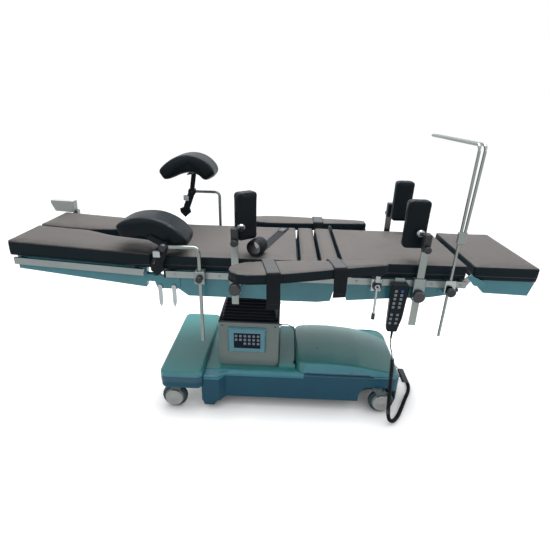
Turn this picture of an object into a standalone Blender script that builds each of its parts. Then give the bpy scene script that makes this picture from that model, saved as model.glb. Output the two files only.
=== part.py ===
"""Electric operating table with its rail accessories.

Metres, +Z up, +X towards the head end, the near side at -Y. The origin is on the floor under the
lifting column. Every moving body hangs on an empty that stands on its joint's axis.
"""

import math

import bmesh
import bpy
from mathutils import Matrix, Vector

# Clearances
GAP = 0.0003
OVERRUN = 0.01
WELD = 0.00001

# Table top
PAD_TOP = 0.820
PAD_THICK = 0.068
PAD_HALF = 0.250
PAD_EDGE = 0.006
PAD_CROWN = 0.004
PAD_TUCK = 0.0025
PAD_CORNER = 0.012
SLIT = 0.004
PAD_BASE = PAD_TOP - PAD_THICK
DECK_TOP = PAD_BASE - GAP
DECK_THICK = 0.005
BEAM_SETBACK = 0.015
BEAM_OUT = PAD_HALF - BEAM_SETBACK
BEAM_THICK = 0.030
BEAM_IN = BEAM_OUT - BEAM_THICK
RAIL_APART = 0.002
RAIL_IN = PAD_HALF + RAIL_APART
RAIL_THICK = 0.010
RAIL_OUT = RAIL_IN + RAIL_THICK
RAIL_TALL = 0.030
RAIL_DROP = 0.002
RAIL_TOP = DECK_TOP - RAIL_DROP
RAIL_LOW = RAIL_TOP - RAIL_TALL
SPACER = 0.022
CROSS = 0.030
CROSS_LOW = 0.690
BACK_CROSSES = (0.470, 0.860)
HEAD_CROSSES = (1.030, 1.180)
HEAD_CROSS_LOW = 0.710
CRADLE_FOOT = 0.05
CRADLE_LOW = 0.640
CHEEK = [
    (-0.300, 0.722), (-0.395, 0.722), (-0.412, 0.712), (-0.416, 0.698), (-0.408, 0.678),
    (-0.402, 0.656), (-0.312, 0.656), (-0.300, 0.664),
]
LEG_INNER_LOW = 0.705
LEG_INNER_END = -0.500
LEG_DECK_STEP = -0.820
LEG_DECK_MIDDLE = 0.060
LEG_DECK_END = -0.446
LEG_CROSSES = (-0.960, -0.560)
LEG_ARM = [(-0.510, 0.720), (-0.510, 0.682), (-0.392, 0.686), (-0.381, 0.700), (-0.392, 0.714)]
BLOCK_SLANT = 0.020
BLOCK_FALL = 0.004
KIDNEY_LEG_LOW = 0.625
EDGE = 0.004
SMALL_EDGE = 0.002

# Sections along the table
LEG_END = -1.045
LEG_LIFT = 0.005
LEG_START = -0.420
SEAT_START = -0.385
KIDNEY_START = 0.2215
STRIP_WIDE = 0.090
BACK_END = 0.941
HEAD_START = 0.962
HEAD_END = 1.245
KIDNEY_END = KIDNEY_START + STRIP_WIDE - SLIT
LUMBAR_START = KIDNEY_END + SLIT
LUMBAR_END = LUMBAR_START + STRIP_WIDE - SLIT
BACK_START = LUMBAR_END + SLIT

# Joint axes
LEG_AXIS = Vector((-0.395, 0.0, 0.700))
LEG_REST = math.radians(3.5)
BACK_AXIS = Vector(((LUMBAR_END + BACK_START) / 2, 0.0, PAD_TOP))
HEAD_AXIS = Vector(((BACK_END + HEAD_START) / 2, 0.0, 0.775))
TILT_AXIS = Vector((0.0, 0.0, 0.665))

# Side profiles of the frames, in the plane of length and height
SEAT_PROFILE = [
    (-0.368, DECK_TOP), (-0.368, 0.700), (-0.266, 0.622), (0.050, 0.620),
    (0.160, 0.614), (0.310, 0.614), (0.368, 0.622), (0.396, DECK_TOP),
]
BACK_PROFILE = [
    (0.410, DECK_TOP), (0.440, 0.628), (0.630, 0.646), (0.800, 0.658), (0.905, 0.680), (0.935, DECK_TOP),
]
HEAD_PROFILE = [
    (0.985, DECK_TOP), (0.995, 0.725), (1.030, 0.690), (1.222, 0.684), (1.240, DECK_TOP),
]
LEG_PROFILE = [
    (-1.012, DECK_TOP), (-1.012, 0.690), (-0.450, 0.655), (-0.446, DECK_TOP),
]
LEG_RAIL = (-1.012, -0.452)
SEAT_RAIL = (-0.360, 0.385)
BACK_RAIL = (0.425, 0.938)
LEG_INNER = (0.012, 0.036)
LEG_CUT = [(-0.800, 0.006), (-0.660, 0.050), (LEG_START, 0.075)]
LEG_MID = 0.004
EAR_THICK = 0.005
EAR_REACH = 0.016
PIN = 0.005

# Corner block at the far end of the leg section
BLOCK_LOW = Vector((-1.120, 0.252, 0.818))
BLOCK_HIGH = Vector((-0.998, 0.290, 0.878))
BLOCK_ARM = 0.026

# Base
FOOT_START = -0.420
FOOT_END = -0.215
FOOT_HALF = 0.290
FOOT_TOP = 0.240
FOOT_EDGE = 0.180
FOOT_LOW = 0.139
FOOT_ROUND = 0.030
BODY_END = 0.755
BODY_HALF = 0.225
BODY_ROUND = 0.050
SHOULDER = 0.018
DECK = 0.209
SKIRT_TOP = 0.193
SKIRT_LOW = 0.055
PILLAR_START = -0.226
PILLAR_END = -0.140
PILLAR_OUT = 0.262
PILLAR_LOW = 0.020
PILLAR_FLARE = 0.050
PILLAR_SINK = 0.03
PILLAR_INNER = 0.17
PILLAR_TAPER = 0.020
FOOT_INSET = 0.012
FOOT_INSET_TALL = 0.014
FOOT_WALL = 0.002
POCKET_WALL = [(0.085, 0.120), (0.062, 0.139)]
PANEL_START = 0.1500
PANEL_END = 0.2330
PANEL_TOP = 0.235
PANEL_HALF = 0.190
DOME_APART = 0.0015
DOME_START = PANEL_END + DOME_APART
DOME_END = 0.742
DOME_HALF = 0.212
DOME_ROUND = 0.055
DOME_STEPS = [(0.000, 0.0), (0.020, 0.004), (0.042, 0.016), (0.056, 0.040), (0.063, 0.085)]

# Castors
WHEEL = 0.0625
WHEEL_WIDE = 0.030
WHEEL_BORE = 0.0065
AXLE = WHEEL_BORE - GAP
TRAIL = 0.026
FORK_THICK = 0.004
FORK_GAP = 0.0015
FORK_HEAD = 0.026
CASTOR_FOOT = (-0.340, 0.235)
CASTOR_REAR = (0.645, 0.215)
POCKET = 0.0925
POCKET_TOP = 0.145

# Brake pedal at the head end
PEDAL_PLACE = Vector((0.745, -0.080, 0.118))
PEDAL_HUB = 0.008
PEDAL_ARM = 0.050
PEDAL_WIDE = 0.100
PEDAL_DEEP = 0.030
PEDAL_THICK = 0.009
PEDAL_HALF = 0.012

# Column
BOX_START = -0.150
BOX_END = 0.147
BOX_HALF = 0.170
BOX_TOP = 0.460
BOX_WALL = 0.008
BOX_ROUND = 0.022
BOX_FLOOR = 0.452
BOX_LOW = DECK + GAP
INNER_HALF = 0.055
INNER_LOW = 0.300
WELL_LOW = 0.240
HEAD_PLATE = 0.590
HEAD_THICK = 0.010
HEAD_HALF = 0.100
COLUMN_EAR_RISE = 0.020
COLUMN_EAR_HALVES = (0.040, 0.024, 0.014)
COLUMN_EAR = 0.105
COLUMN_EAR_THICK = 0.014
TRUNNION = 0.012
YOKE = Vector((0.046, 0.086, 0.022))
CRADLE = 0.070
CRADLE_THICK = 0.010
BELLOWS_LOW = (0.139, 0.159)
BELLOWS_TOP = (0.105, 0.118)
BELLOWS_FOLD = 0.012
BELLOWS_BORE = 0.068
PLEATS = 7

# Control panel
BEZEL_START = -0.103
BEZEL_END = 0.083
BEZEL_LOW = 0.292
BEZEL_TOP = 0.430
BEZEL_DEEP = 0.012
KEYPAD_START = -0.073
KEYPAD_END = 0.056
KEYPAD_LOW = 0.318
KEYPAD_TOP = 0.402
KEYPAD_DEEP = 0.004
KEY = 0.0125
KEY_RISE = 0.0012
KEY_COLUMNS = 6

# Leg holders
KNEE_X = -0.200
KNEE_APART = 0.021
KNEE_Y = RAIL_OUT + KNEE_APART
ROD = 0.008
KNEE_PIVOT_X = -0.345
KNEE_HEIGHTS = {"near": 0.868, "far": 0.985}
KNEE_SHIFTS = {"near": Vector((0.0, 0.0)), "far": Vector((0.090, 0.098))}
KNEE_TURNS = {"near": 0.0, "far": math.radians(20)}
ROD_LONG = 0.447
ROD_BEND = 0.022
BOSS = 0.015
BOSS_HALF = 0.0105
BRACKET_THICK = 0.006
BRACKET_WIDE = 0.034
BRACKET_FOOT = Vector((-0.040, -0.104))
DIAMOND = [(-0.030, 0.012), (0.020, 0.034), (0.030, -0.006), (-0.002, -0.034), (-0.026, -0.010)]
KNEE_PATH = [
    (-0.198, 0.055), (-0.150, 0.066), (-0.095, 0.078), (-0.045, 0.075), (-0.003, 0.048), (0.034, 0.008),
]
KNEE_WIDE = 0.155
KNEE_THICK = 0.074
KNEE_INSET = 0.010
TONGUE = 0.110
TONGUE_PLAY = 0.0018
CLAMP_HALF = 0.022
CLAMP_DEEP = 0.036
CLAMP_RISE = 0.016
CLAMP_DROP = 0.014

# Armboards
BOARD_THICK = 0.040
BOARD_PLATE = 0.006
BOARD_LONG = 0.650
BOARD_BACK = 0.030
BOARD_HALF = 0.074
BOARD_SHARES = [
    (0.00, 0.34), (0.03, 0.46), (0.12, 0.52), (0.30, 0.64), (0.48, 0.82), (0.66, 0.97),
    (0.80, 1.00), (0.90, 0.93), (0.96, 0.72), (0.99, 0.42),
]
BOARD_OUTS = {"near": 0.043, "far": 0.084}
BOARDS = {
    "near": {"place": Vector((0.549, -(RAIL_OUT + BOARD_OUTS["near"]), 0.846)), "turn": math.radians(191.8), "side": -1},
    "far": {"place": Vector((0.578, RAIL_OUT + BOARD_OUTS["far"], 0.836)), "turn": math.radians(180.0), "side": 1},
}
BOARD_POST = 0.011
STRAP_THICK = 0.0018
STRAP_WIDE = 0.042
STRAPS = {
    "armboard_strap_near_1": ("near", 0.455, 0.150, 0.110),
    "armboard_strap_near_2": ("near", 0.185, 0.125, 0.030),
    "armboard_strap_far": ("far", 0.240, 0.040, 0.034),
}

# Wrist cuff and its webbing on the table
CUFF_PLACE = Vector((0.037, -0.195, PAD_TOP))
CUFF_RADIUS = 0.031
CUFF_THICK = 0.004
CUFF_LONG = 0.066
CUFF_TURN = math.radians(68)
WEB_END = Vector((0.160, 0.215, PAD_TOP))
WEB_WIDE = 0.028
WEB_THICK = 0.002
BUCKLE = Vector((0.042, 0.034, 0.010))

# Body supports: rise is the cushion's lower edge above the table's cushions, and ball its ball above that edge
SUPPORTS = {
    "left": {"x": -0.050, "side": -1, "low": 0.612, "pad": (-0.012, 0.205), "turn": math.radians(38), "rise": 0.069, "ball": 0.0635},
    "right": {"x": 0.732, "side": -1, "low": 0.541, "pad": (0.700, 0.205), "turn": 0.0, "rise": 0.058, "ball": 0.0745},
    "far": {"x": 0.712, "side": 1, "low": 0.600, "pad": (0.754, 0.215), "turn": 0.0, "rise": 0.062, "ball": 0.0705},
}
BAR_WIDE = 0.030
BAR_THICK = 0.008
BAR_APART = 0.015
BAR_Y = RAIL_OUT + BAR_APART
SUPPORT_WIDE = 0.095
SUPPORT_TALL = 0.205
SUPPORT_THICK = 0.046
SUPPORT_ROUND = 0.014
SUPPORT_EDGE = 0.006
HOLDER_HALF = 0.024
HOLDER_LOW = 0.664
HOLDER_TOP = 0.765
HOLDER_DEEP = 0.028
HOLDER_OUT = RAIL_OUT + HOLDER_DEEP
KNOB = 0.026
KNOB_THICK = 0.022
KNOB_Z = 0.690
BALL = 0.017
GRIP = 0.015

# Screen
SCREEN_X = 0.857
SCREEN_OUT = 0.022
SCREEN_Y = -(RAIL_OUT + SCREEN_OUT)
SCREEN_LOW = 0.494
SCREEN_TOP = 1.306
SCREEN_REACH = 0.235
SCREEN_ROD = 0.0062
SCREEN_BEND = 0.022
SCREEN_APART = 0.022
SCREEN_FOOT = 0.960

# Clamp lever
LEVER_LONG = 0.128
LEVER_ROD = 0.005
LEVER_TIP = 0.008
LEVER_TIP_LONG = 0.026
HUB = 0.020
HUB_DEEP = 0.038
HUB_OUT = RAIL_OUT + HUB_DEEP

# Release levers
RELEASE_X = {"near": -0.389, "far": -0.327}
RELEASE_Z = 0.667
RELEASE_CLEAR = 0.004
RELEASE_Y = -(BEAM_OUT + EAR_THICK + 2 * GAP + RELEASE_CLEAR)
RELEASE_LONG = 0.102
RELEASE_WIDE = 0.018
RELEASE_THICK = 0.004

# Handset
HANDSET_X = 0.652
HANDSET_TOP = 0.738
HANDSET_LOW = 0.507
HANDSET_BACK = RAIL_OUT + GAP
HANDSET_THICK = 0.028
HANDSET_OUTLINE_SHARES = [(-0.5, 1.0), (0.5, 1.0), (0.52, 0.88), (0.42, 0.30), (0.22, 0.0), (-0.36, 0.0), (-0.42, 0.10)]
HANDSET_WIDE = 0.074
HOOK_TALL = 0.010
BUTTON = 0.011
BUTTON_ROWS_SHARE = [0.87, 0.79, 0.71, 0.62, 0.54, 0.38, 0.29, 0.20]
BUTTON_APART = 0.026
RELIEF = 0.006
RELIEF_LONG = 0.040

# Cord
CORD = 0.0026
CURL = 0.0072
CURL_POINTS = 8
CURLS = 54
CORD_GLAND = Vector((0.757, 0.060, 0.090))
CORD_PLAIN = (0.100, 0.090)
GLAND = 0.009
GLAND_LONG = 0.016
CORD_POINTS = [
    (0.652, -0.276, 0.4667), (0.653, -0.276, 0.440), (0.659, -0.279, 0.412), (0.667, -0.284, 0.385),
    (0.672, -0.290, 0.340), (0.675, -0.297, 0.270), (0.677, -0.307, 0.200), (0.680, -0.316, 0.130),
    (0.685, -0.320, 0.070), (0.698, -0.316, 0.030), (0.722, -0.302, 0.0120), (0.752, -0.268, 0.0115),
    (0.788, -0.205, 0.0115), (0.825, -0.135, 0.0115), (0.855, -0.080, 0.0115), (0.872, -0.025, 0.0115),
    (0.868, 0.025, 0.016), (0.845, 0.052, 0.045), (0.812, 0.060, 0.078), (0.790, 0.060, 0.089),
    (0.7733, 0.060, 0.090),
]

PLACES = {}


def clear_scene():
    """Removes whatever the start-up file holds."""
    for obj in list(bpy.data.objects):
        bpy.data.objects.remove(obj, do_unlink=True)


def finish(name, colour, roughness, metallic=0.0):
    """A Principled material."""
    material = bpy.data.materials.new(name)
    material.use_nodes = True
    shader = material.node_tree.nodes["Principled BSDF"]
    shader.inputs["Base Color"].default_value = (*colour, 1.0)
    shader.inputs["Roughness"].default_value = roughness
    shader.inputs["Metallic"].default_value = metallic
    material.diffuse_color = (*colour, 1.0)
    return material


def steel(name):
    return finish(name + "_steel", (0.55, 0.58, 0.58), 0.32, 1.0)


def teal(name):
    return finish(name + "_teal", (0.08, 0.27, 0.31), 0.4)


def cushion_skin(name):
    return finish(name + "_skin", (0.055, 0.055, 0.055), 0.55)


def black(name):
    return finish(name + "_black", (0.012, 0.016, 0.018), 0.5)


def joint_frame(name, place, parent=None, tilt=0.0):
    """An empty on a joint's axis."""
    empty = bpy.data.objects.new(name, None)
    bpy.context.collection.objects.link(empty)
    PLACES[name] = Vector(place)
    empty.location = PLACES[name] - (PLACES[parent.name] if parent else Vector())
    empty.rotation_euler = (0.0, tilt, 0.0)
    empty.parent = parent
    return empty


def object_of(name, mesh_data):
    """Turns a bmesh into a linked object with its faces outwards."""
    bmesh.ops.remove_doubles(mesh_data, verts=mesh_data.verts, dist=WELD)
    bmesh.ops.recalc_face_normals(mesh_data, faces=mesh_data.faces)
    if mesh_data.calc_volume(signed=True) < 0:
        bmesh.ops.reverse_faces(mesh_data, faces=mesh_data.faces)
    mesh = bpy.data.meshes.new(name)
    mesh_data.to_mesh(mesh)
    mesh_data.free()
    obj = bpy.data.objects.new(name, mesh)
    bpy.context.collection.objects.link(obj)
    return obj


def on_plane(axis, a, b, c):
    """A point from its two places in an outline and its place along the axis."""
    return {"X": (c, a, b), "Y": (a, c, b), "Z": (a, b, c)}[axis]


def prism(name, outline, axis, low, high, edge=0.0, steps=1):
    """An outline extruded along an axis, with its edges rounded if asked."""
    data = bmesh.new()
    face = data.faces.new([data.verts.new(on_plane(axis, a, b, low)) for a, b in outline])
    made = bmesh.ops.extrude_face_region(data, geom=[face])["geom"]
    moved = [v for v in made if isinstance(v, bmesh.types.BMVert)]
    bmesh.ops.translate(data, verts=moved, vec=Vector(on_plane(axis, 0.0, 0.0, high - low)))
    if edge:
        sharp = [e for e in data.edges if len(e.link_faces) == 2 and e.calc_face_angle() > math.radians(30)]
        bmesh.ops.bevel(data, geom=sharp, offset=edge, segments=steps, profile=0.5, affect="EDGES")
    return object_of(name, data)


def block(name, low, high, edge=0.0, steps=1):
    """A box between two corners."""
    outline = [(low[0], low[1]), (high[0], low[1]), (high[0], high[1]), (low[0], high[1])]
    return prism(name, outline, "Z", low[2], high[2], edge, steps)


def rounded(outline, radius, steps=3):
    """The outline with every corner turned into an arc."""
    result = []
    count = len(outline)
    for i, corner in enumerate(outline):
        here = Vector(corner)
        back = (Vector(outline[i - 1]) - here).normalized()
        onward = (Vector(outline[(i + 1) % count]) - here).normalized()
        half = back.angle(onward) / 2
        reach = radius / math.tan(half)
        centre = here + (back + onward).normalized() * (radius / math.sin(half))
        first = here + back * reach - centre
        last = here + onward * reach - centre
        turn = first.angle_signed(last)
        for step in range(steps + 1):
            share = -turn * step / steps
            c, s = math.cos(share), math.sin(share)
            result.append((centre.x + first.x * c - first.y * s, centre.y + first.x * s + first.y * c))
    return result


def rectangle(x0, x1, y0, y1):
    return [(x0, y0), (x1, y0), (x1, y1), (x0, y1)]


def inset(outline, distance):
    """The outline drawn inwards, for outlines that run counter-clockwise."""
    if not distance:
        return list(outline)
    count = len(outline)
    result = []
    for i in range(count):
        here = Vector(outline[i])
        back = (here - Vector(outline[i - 1])).normalized()
        onward = (Vector(outline[(i + 1) % count]) - here).normalized()
        normal = Vector((-(back + onward).y, (back + onward).x)).normalized()
        lean = max(normal.dot(Vector((-back.y, back.x))), math.cos(math.radians(60)))
        result.append(tuple(here + normal * (distance / lean)))
    return result


def counter_clockwise(outline):
    area = sum(a[0] * b[1] - b[0] * a[1] for a, b in zip(outline, outline[1:] + outline[:1]))
    return list(outline) if area > 0 else list(reversed(outline))


def loft(name, rings):
    """A closed body through rings of equally many points, with flat ends."""
    data = bmesh.new()
    rows = [[data.verts.new(point) for point in ring] for ring in rings]
    count = len(rows[0])
    for low, high in zip(rows, rows[1:]):
        for i in range(count):
            data.faces.new((low[i], low[(i + 1) % count], high[(i + 1) % count], high[i]))
    data.faces.new(rows[0])
    data.faces.new(rows[-1])
    return object_of(name, data)


def lathe(name, profile, place, axis, steps=24):
    """A profile of radius and height spun round an axis through a place."""
    data = bmesh.new()
    points = [data.verts.new((radius, 0.0, height)) for radius, height in profile]
    edges = [data.edges.new(pair) for pair in zip(points, points[1:])]
    if profile[0][0] and profile[-1][0]:
        edges.append(data.edges.new((points[-1], points[0])))
    bmesh.ops.spin(
        data, geom=points + edges, cent=(0.0, 0.0, 0.0), axis=(0.0, 0.0, 1.0), angle=2 * math.pi, steps=steps
    )
    turn = Vector((0.0, 0.0, 1.0)).rotation_difference(Vector(axis)).to_matrix().to_4x4()
    bmesh.ops.transform(data, matrix=Matrix.Translation(place) @ turn, verts=data.verts)
    return object_of(name, data)


def cylinder(name, start, end, radius, steps=16):
    """A round bar from one point to another."""
    along = Vector(end) - Vector(start)
    profile = [(0.0, 0.0), (radius, 0.0), (radius, along.length), (0.0, along.length)]
    return lathe(name, profile, Vector(start), along.normalized(), steps)


def ball(name, place, radius):
    data = bmesh.new()
    bmesh.ops.create_uvsphere(data, u_segments=14, v_segments=8, radius=radius)
    bmesh.ops.translate(data, verts=data.verts, vec=Vector(place))
    return object_of(name, data)


def tube(name, points, radius, resolution=2):
    """A round rod along points."""
    curve = bpy.data.curves.new(name, "CURVE")
    curve.dimensions = "3D"
    curve.bevel_depth = radius
    curve.bevel_resolution = resolution
    curve.use_fill_caps = True
    spline = curve.splines.new("POLY")
    spline.points.add(len(points) - 1)
    for point, place in zip(spline.points, points):
        point.co = (*place, 1.0)
    obj = bpy.data.objects.new(name, curve)
    bpy.context.collection.objects.link(obj)
    return as_mesh(obj)


def as_mesh(obj):
    """Replaces an object by the mesh that it evaluates to."""
    bpy.context.view_layer.update()
    mesh = bpy.data.meshes.new_from_object(obj.evaluated_get(bpy.context.evaluated_depsgraph_get()))
    name = obj.name
    bpy.data.objects.remove(obj, do_unlink=True)
    data = bmesh.new()
    data.from_mesh(mesh)
    return object_of(name, data)


def combine(base, others, operation):
    """Applies one Boolean after another and removes what was used."""
    for other in others:
        modifier = base.modifiers.new("combine", "BOOLEAN")
        modifier.operation = operation
        modifier.solver = "EXACT"
        modifier.object = other
    result = as_mesh(base)
    for other in others:
        bpy.data.objects.remove(other, do_unlink=True)
    return result


def fuse(name, pieces, cutters=()):
    """Joins pieces into one body and takes the cutters out of it."""
    base = pieces[0]
    base.name = name
    if len(pieces) > 1:
        base = combine(base, pieces[1:], "UNION")
    if cutters:
        base = combine(base, list(cutters), "DIFFERENCE")
    base.name = name
    return base


def arc_bend(corner, before, after, radius, steps=4):
    """Points that turn a rod's corner on an arc."""
    corner = Vector(corner)
    back = (Vector(before) - corner).normalized()
    onward = (Vector(after) - corner).normalized()
    half = back.angle(onward) / 2
    centre = corner + (back + onward).normalized() * (radius / math.sin(half))
    first = corner + back * (radius / math.tan(half)) - centre
    last = corner + onward * (radius / math.tan(half)) - centre
    sweep = first.angle(last)
    return [
        tuple(centre + (first * math.sin(sweep * (1 - t)) + last * math.sin(sweep * t)) / math.sin(sweep))
        for t in (step / steps for step in range(steps + 1))
    ]


def mount(obj, frame, material, smooth=30):
    """Hangs a shape made in world places on its joint's frame and gives it its finish."""
    obj.data.transform(Matrix.Translation(-PLACES[frame.name]))
    obj.parent = frame
    obj.data.materials.clear()
    obj.data.materials.append(material)
    obj.data.shade_smooth()
    obj.data.set_sharp_from_angle(angle=math.radians(smooth))
    return obj


def mirrored(outline):
    """The outline on the other side of the table's middle line."""
    return [(x, -y) for x, y in outline]


def ring_at(corners, radius, distance, steps=3):
    """The outline at a distance inside its corners' polygon, with the corners rounded to suit."""
    drawn = inset(corners, distance)
    return rounded(drawn, max(radius - distance, radius / 4), steps) if radius else drawn


def cushion(name, corners, radius, low, high, tuck=PAD_TUCK):
    """A padded slab with drawn-in sides, rounded edges and a crowned top."""
    outline = counter_clockwise(corners)
    rise = high - low - PAD_CROWN
    centre = (
        sum(x for x, _ in outline) / len(outline),
        sum(y for _, y in outline) / len(outline),
    )
    levels = [
        (0.0, tuck + PAD_EDGE / 3), (PAD_EDGE / 2, tuck), (rise / 2, 0.0), (rise - PAD_EDGE, tuck / 7),
        (rise - PAD_EDGE / 3, PAD_EDGE / 3), (rise, PAD_EDGE),
    ]
    rings = [[(x, y, low + z) for x, y in ring_at(outline, radius, distance)] for z, distance in levels]
    edge = ring_at(outline, radius, PAD_EDGE)
    for share, lift_share in ((0.82, 0.65), (0.50, 1.0)):
        rings.append(
            [
                (
                    centre[0] + (x - centre[0]) * share,
                    centre[1] + (y - centre[1]) * share,
                    low + rise + PAD_CROWN * lift_share,
                )
                for x, y in edge
            ]
        )
    return loft(name, rings)


def side_bars(name, profile, rail):
    """Both side beams of a section with their steel rails on spacers."""
    pieces = []
    for side in (-1, 1):
        inner, outer = sorted((side * BEAM_IN, side * BEAM_OUT))
        pieces.append(prism(name, profile, "Y", inner, outer))
        if rail:
            pieces += rail_bar(name, rail, side)
    return pieces


def rail_bar(name, rail, side):
    """One rail and the spacers that hold it off its beam."""
    inner, outer = sorted((side * RAIL_IN, side * RAIL_OUT))
    pieces = [block(name, (rail[0], inner, RAIL_LOW), (rail[1], outer, RAIL_TOP))]
    near, far = sorted((side * (BEAM_OUT - GAP), side * (RAIL_IN + GAP)))
    for x in (rail[0] + SPACER, rail[1] - 2 * SPACER):
        pieces.append(block(name, (x, near, RAIL_LOW + GAP), (x + SPACER, far, RAIL_TOP - GAP)))
    return pieces


def deck(name, start, end, half):
    """The plate that a cushion lies on."""
    return block(name, (start, -half, DECK_TOP - DECK_THICK), (end, half, DECK_TOP - GAP))


def cross_beam(name, x, low):
    return block(name, (x, -BEAM_IN - GAP, low), (x + CROSS, BEAM_IN + GAP, DECK_TOP - DECK_THICK + GAP))


def make_seat_frame(frame):
    """Seat frame: beams, rails, decks, cradle plates for the side tilt and the left support's holder."""
    name = "seat_frame"
    pieces = side_bars(name, SEAT_PROFILE, SEAT_RAIL)
    pieces.append(deck(name, SEAT_START, KIDNEY_START - SLIT, BEAM_OUT - GAP))
    pieces.append(deck(name, LUMBAR_START, LUMBAR_END - OVERRUN, BEAM_OUT - GAP))
    pieces += [cross_beam(name, x, CROSS_LOW) for x in (SEAT_PROFILE[0][0] + CROSS, KIDNEY_START - 2 * CROSS, LUMBAR_START)]
    for side in (-1, 1):
        low, high = sorted((side * CRADLE, side * (CRADLE + CRADLE_THICK)))
        top = DECK_TOP - DECK_THICK + GAP
        outline = [(-BEAM_IN - GAP, top), (BEAM_IN + GAP, top), (BEAM_IN + GAP, top - CROSS), (CRADLE_FOOT, CRADLE_LOW),
                   (-CRADLE_FOOT, CRADLE_LOW), (-BEAM_IN - GAP, top - CROSS)]
        pieces.append(prism(name, outline, "X", low, high))
        pieces.append(hinge_cheek(name, side))
        pieces.append(back_ear(name, BACK_AXIS, side, SEAT_RAIL[1] - OVERRUN))
    pieces += holder(name, SUPPORTS["left"])
    cutters = [
        cylinder("cut", (-CRADLE - 2 * CRADLE_THICK, 0.0, TILT_AXIS.z), (CRADLE + 2 * CRADLE_THICK, 0.0, TILT_AXIS.z),
                 TRUNNION + GAP),
        holder_slot(SUPPORTS["left"]),
    ]
    for side in (-1, 1):
        cutters.append(cheek_hole(side))
        cutters.append(ear_hole(BACK_AXIS, side))
    return mount(fuse(name, pieces, cutters), frame, teal(name))


def hinge_cheek(name, side):
    """Plate on the outer face of the seat beam that carries a leg section's pin."""
    low, high = sorted((side * (BEAM_OUT - GAP), side * (BEAM_OUT + EAR_THICK)))
    return prism(name, CHEEK, "Y", low, high)


def cheek_hole(side):
    start = Vector((LEG_AXIS.x, side * (BEAM_OUT - OVERRUN), LEG_AXIS.z))
    return cylinder("cut", start, start + Vector((0.0, side * 2 * OVERRUN, 0.0)), PIN + GAP)


def back_ear(name, axis, side, start):
    """Ear on a rail's end that rises to a hinge axis beside the cushions."""
    low, high = sorted((side * RAIL_IN, side * (RAIL_IN + EAR_THICK)))
    outline = [
        (start, RAIL_LOW), (axis.x - EAR_REACH, RAIL_LOW), (axis.x + EAR_REACH / 2, axis.z - EAR_REACH),
        (axis.x + EAR_REACH * 0.6, axis.z), (axis.x, axis.z + EAR_REACH * 0.6), (axis.x - EAR_REACH * 0.6, axis.z),
        (start, RAIL_TOP),
    ]
    return prism(name, outline, "Y", low, high)


def front_ear(name, axis, side, end):
    """The matching ear of the moving section, outside the fixed one."""
    inner = RAIL_IN + EAR_THICK + GAP
    low, high = sorted((side * inner, side * (inner + EAR_THICK)))
    outline = [
        (end, RAIL_TOP), (axis.x + EAR_REACH * 0.6, axis.z), (axis.x, axis.z + EAR_REACH * 0.6),
        (axis.x - EAR_REACH * 0.6, axis.z), (axis.x - EAR_REACH / 2, axis.z - EAR_REACH * 0.7),
        (axis.x + EAR_REACH, RAIL_LOW + EAR_REACH), (end, RAIL_LOW + EAR_THICK),
    ]
    pin_start = (axis.x, side * (RAIL_IN - GAP), axis.z)
    pin_end = (axis.x, side * (inner + EAR_THICK / 2), axis.z)
    return [prism(name, outline, "Y", low, high), cylinder(name, pin_start, pin_end, PIN, 12)]


def ear_hole(axis, side):
    start = Vector((axis.x, side * (RAIL_IN - OVERRUN), axis.z))
    return cylinder("cut", start, start + Vector((0.0, side * 2 * OVERRUN, 0.0)), PIN + GAP, 12)


def holder(name, support):
    """Rail holder for a support's flat bar, with its round clamping knob."""
    x, side = support["x"], support["side"]
    low, high = sorted((side * (RAIL_OUT - GAP), side * HOLDER_OUT))
    body = block(name, (x - HOLDER_HALF, low, HOLDER_LOW), (x + HOLDER_HALF, high, HOLDER_TOP), SUPPORT_EDGE / 2)
    start = Vector((x, side * (HOLDER_OUT - GAP), KNOB_Z))
    profile = [(0.0, 0.0), (KNOB * 0.7, 0.0), (KNOB, KNOB_THICK * 0.25), (KNOB, KNOB_THICK * 0.8),
               (KNOB * 0.85, KNOB_THICK), (0.0, KNOB_THICK)]
    return [body, lathe(name, profile, start, (0.0, side, 0.0), 16)]


def holder_slot(support):
    x, side = support["x"], support["side"]
    low, high = sorted((side * (BAR_Y - BAR_THICK / 2 - GAP), side * (BAR_Y + BAR_THICK / 2 + GAP)))
    wide = BAR_WIDE / 2 + GAP
    return block("cut", (x - wide, low, HOLDER_LOW - OVERRUN), (x + wide, high, HOLDER_TOP + OVERRUN))


def make_back_frame(frame):
    """Back frame: beams, rails, deck, ears, and the holders of the right and far supports."""
    name = "back_frame"
    pieces = side_bars(name, BACK_PROFILE, BACK_RAIL)
    pieces.append(deck(name, BACK_PROFILE[0][0] + GAP, BACK_PROFILE[-1][0] - GAP, BEAM_OUT - GAP))
    pieces += [cross_beam(name, x, CROSS_LOW) for x in BACK_CROSSES]
    cutters = []
    for side in (-1, 1):
        pieces += front_ear(name, BACK_AXIS, side, BACK_RAIL[0] + SPACER)
        pieces.append(back_ear(name, HEAD_AXIS, side, BACK_RAIL[1] - 2 * OVERRUN))
        cutters.append(ear_hole(HEAD_AXIS, side))
    for key in ("right", "far"):
        pieces += holder(name, SUPPORTS[key])
        cutters.append(holder_slot(SUPPORTS[key]))
    pieces.append(far_board_post(name))
    return mount(fuse(name, pieces, cutters), frame, teal(name))


def far_board_post(name):
    """Bracket and round post that carry the far armboard."""
    place = BOARDS["far"]["place"]
    top = place.z - BOARD_THICK - BOARD_PLATE - 3 * GAP
    arm = block(name, (place.x - CLAMP_HALF, RAIL_OUT - GAP, RAIL_LOW), (place.x + CLAMP_HALF, place.y + CLAMP_HALF, RAIL_TOP))
    post = cylinder(name, (place.x, place.y, RAIL_TOP - GAP), (place.x, place.y, top), BOARD_POST)
    return fuse(name, [arm, post])


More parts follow.
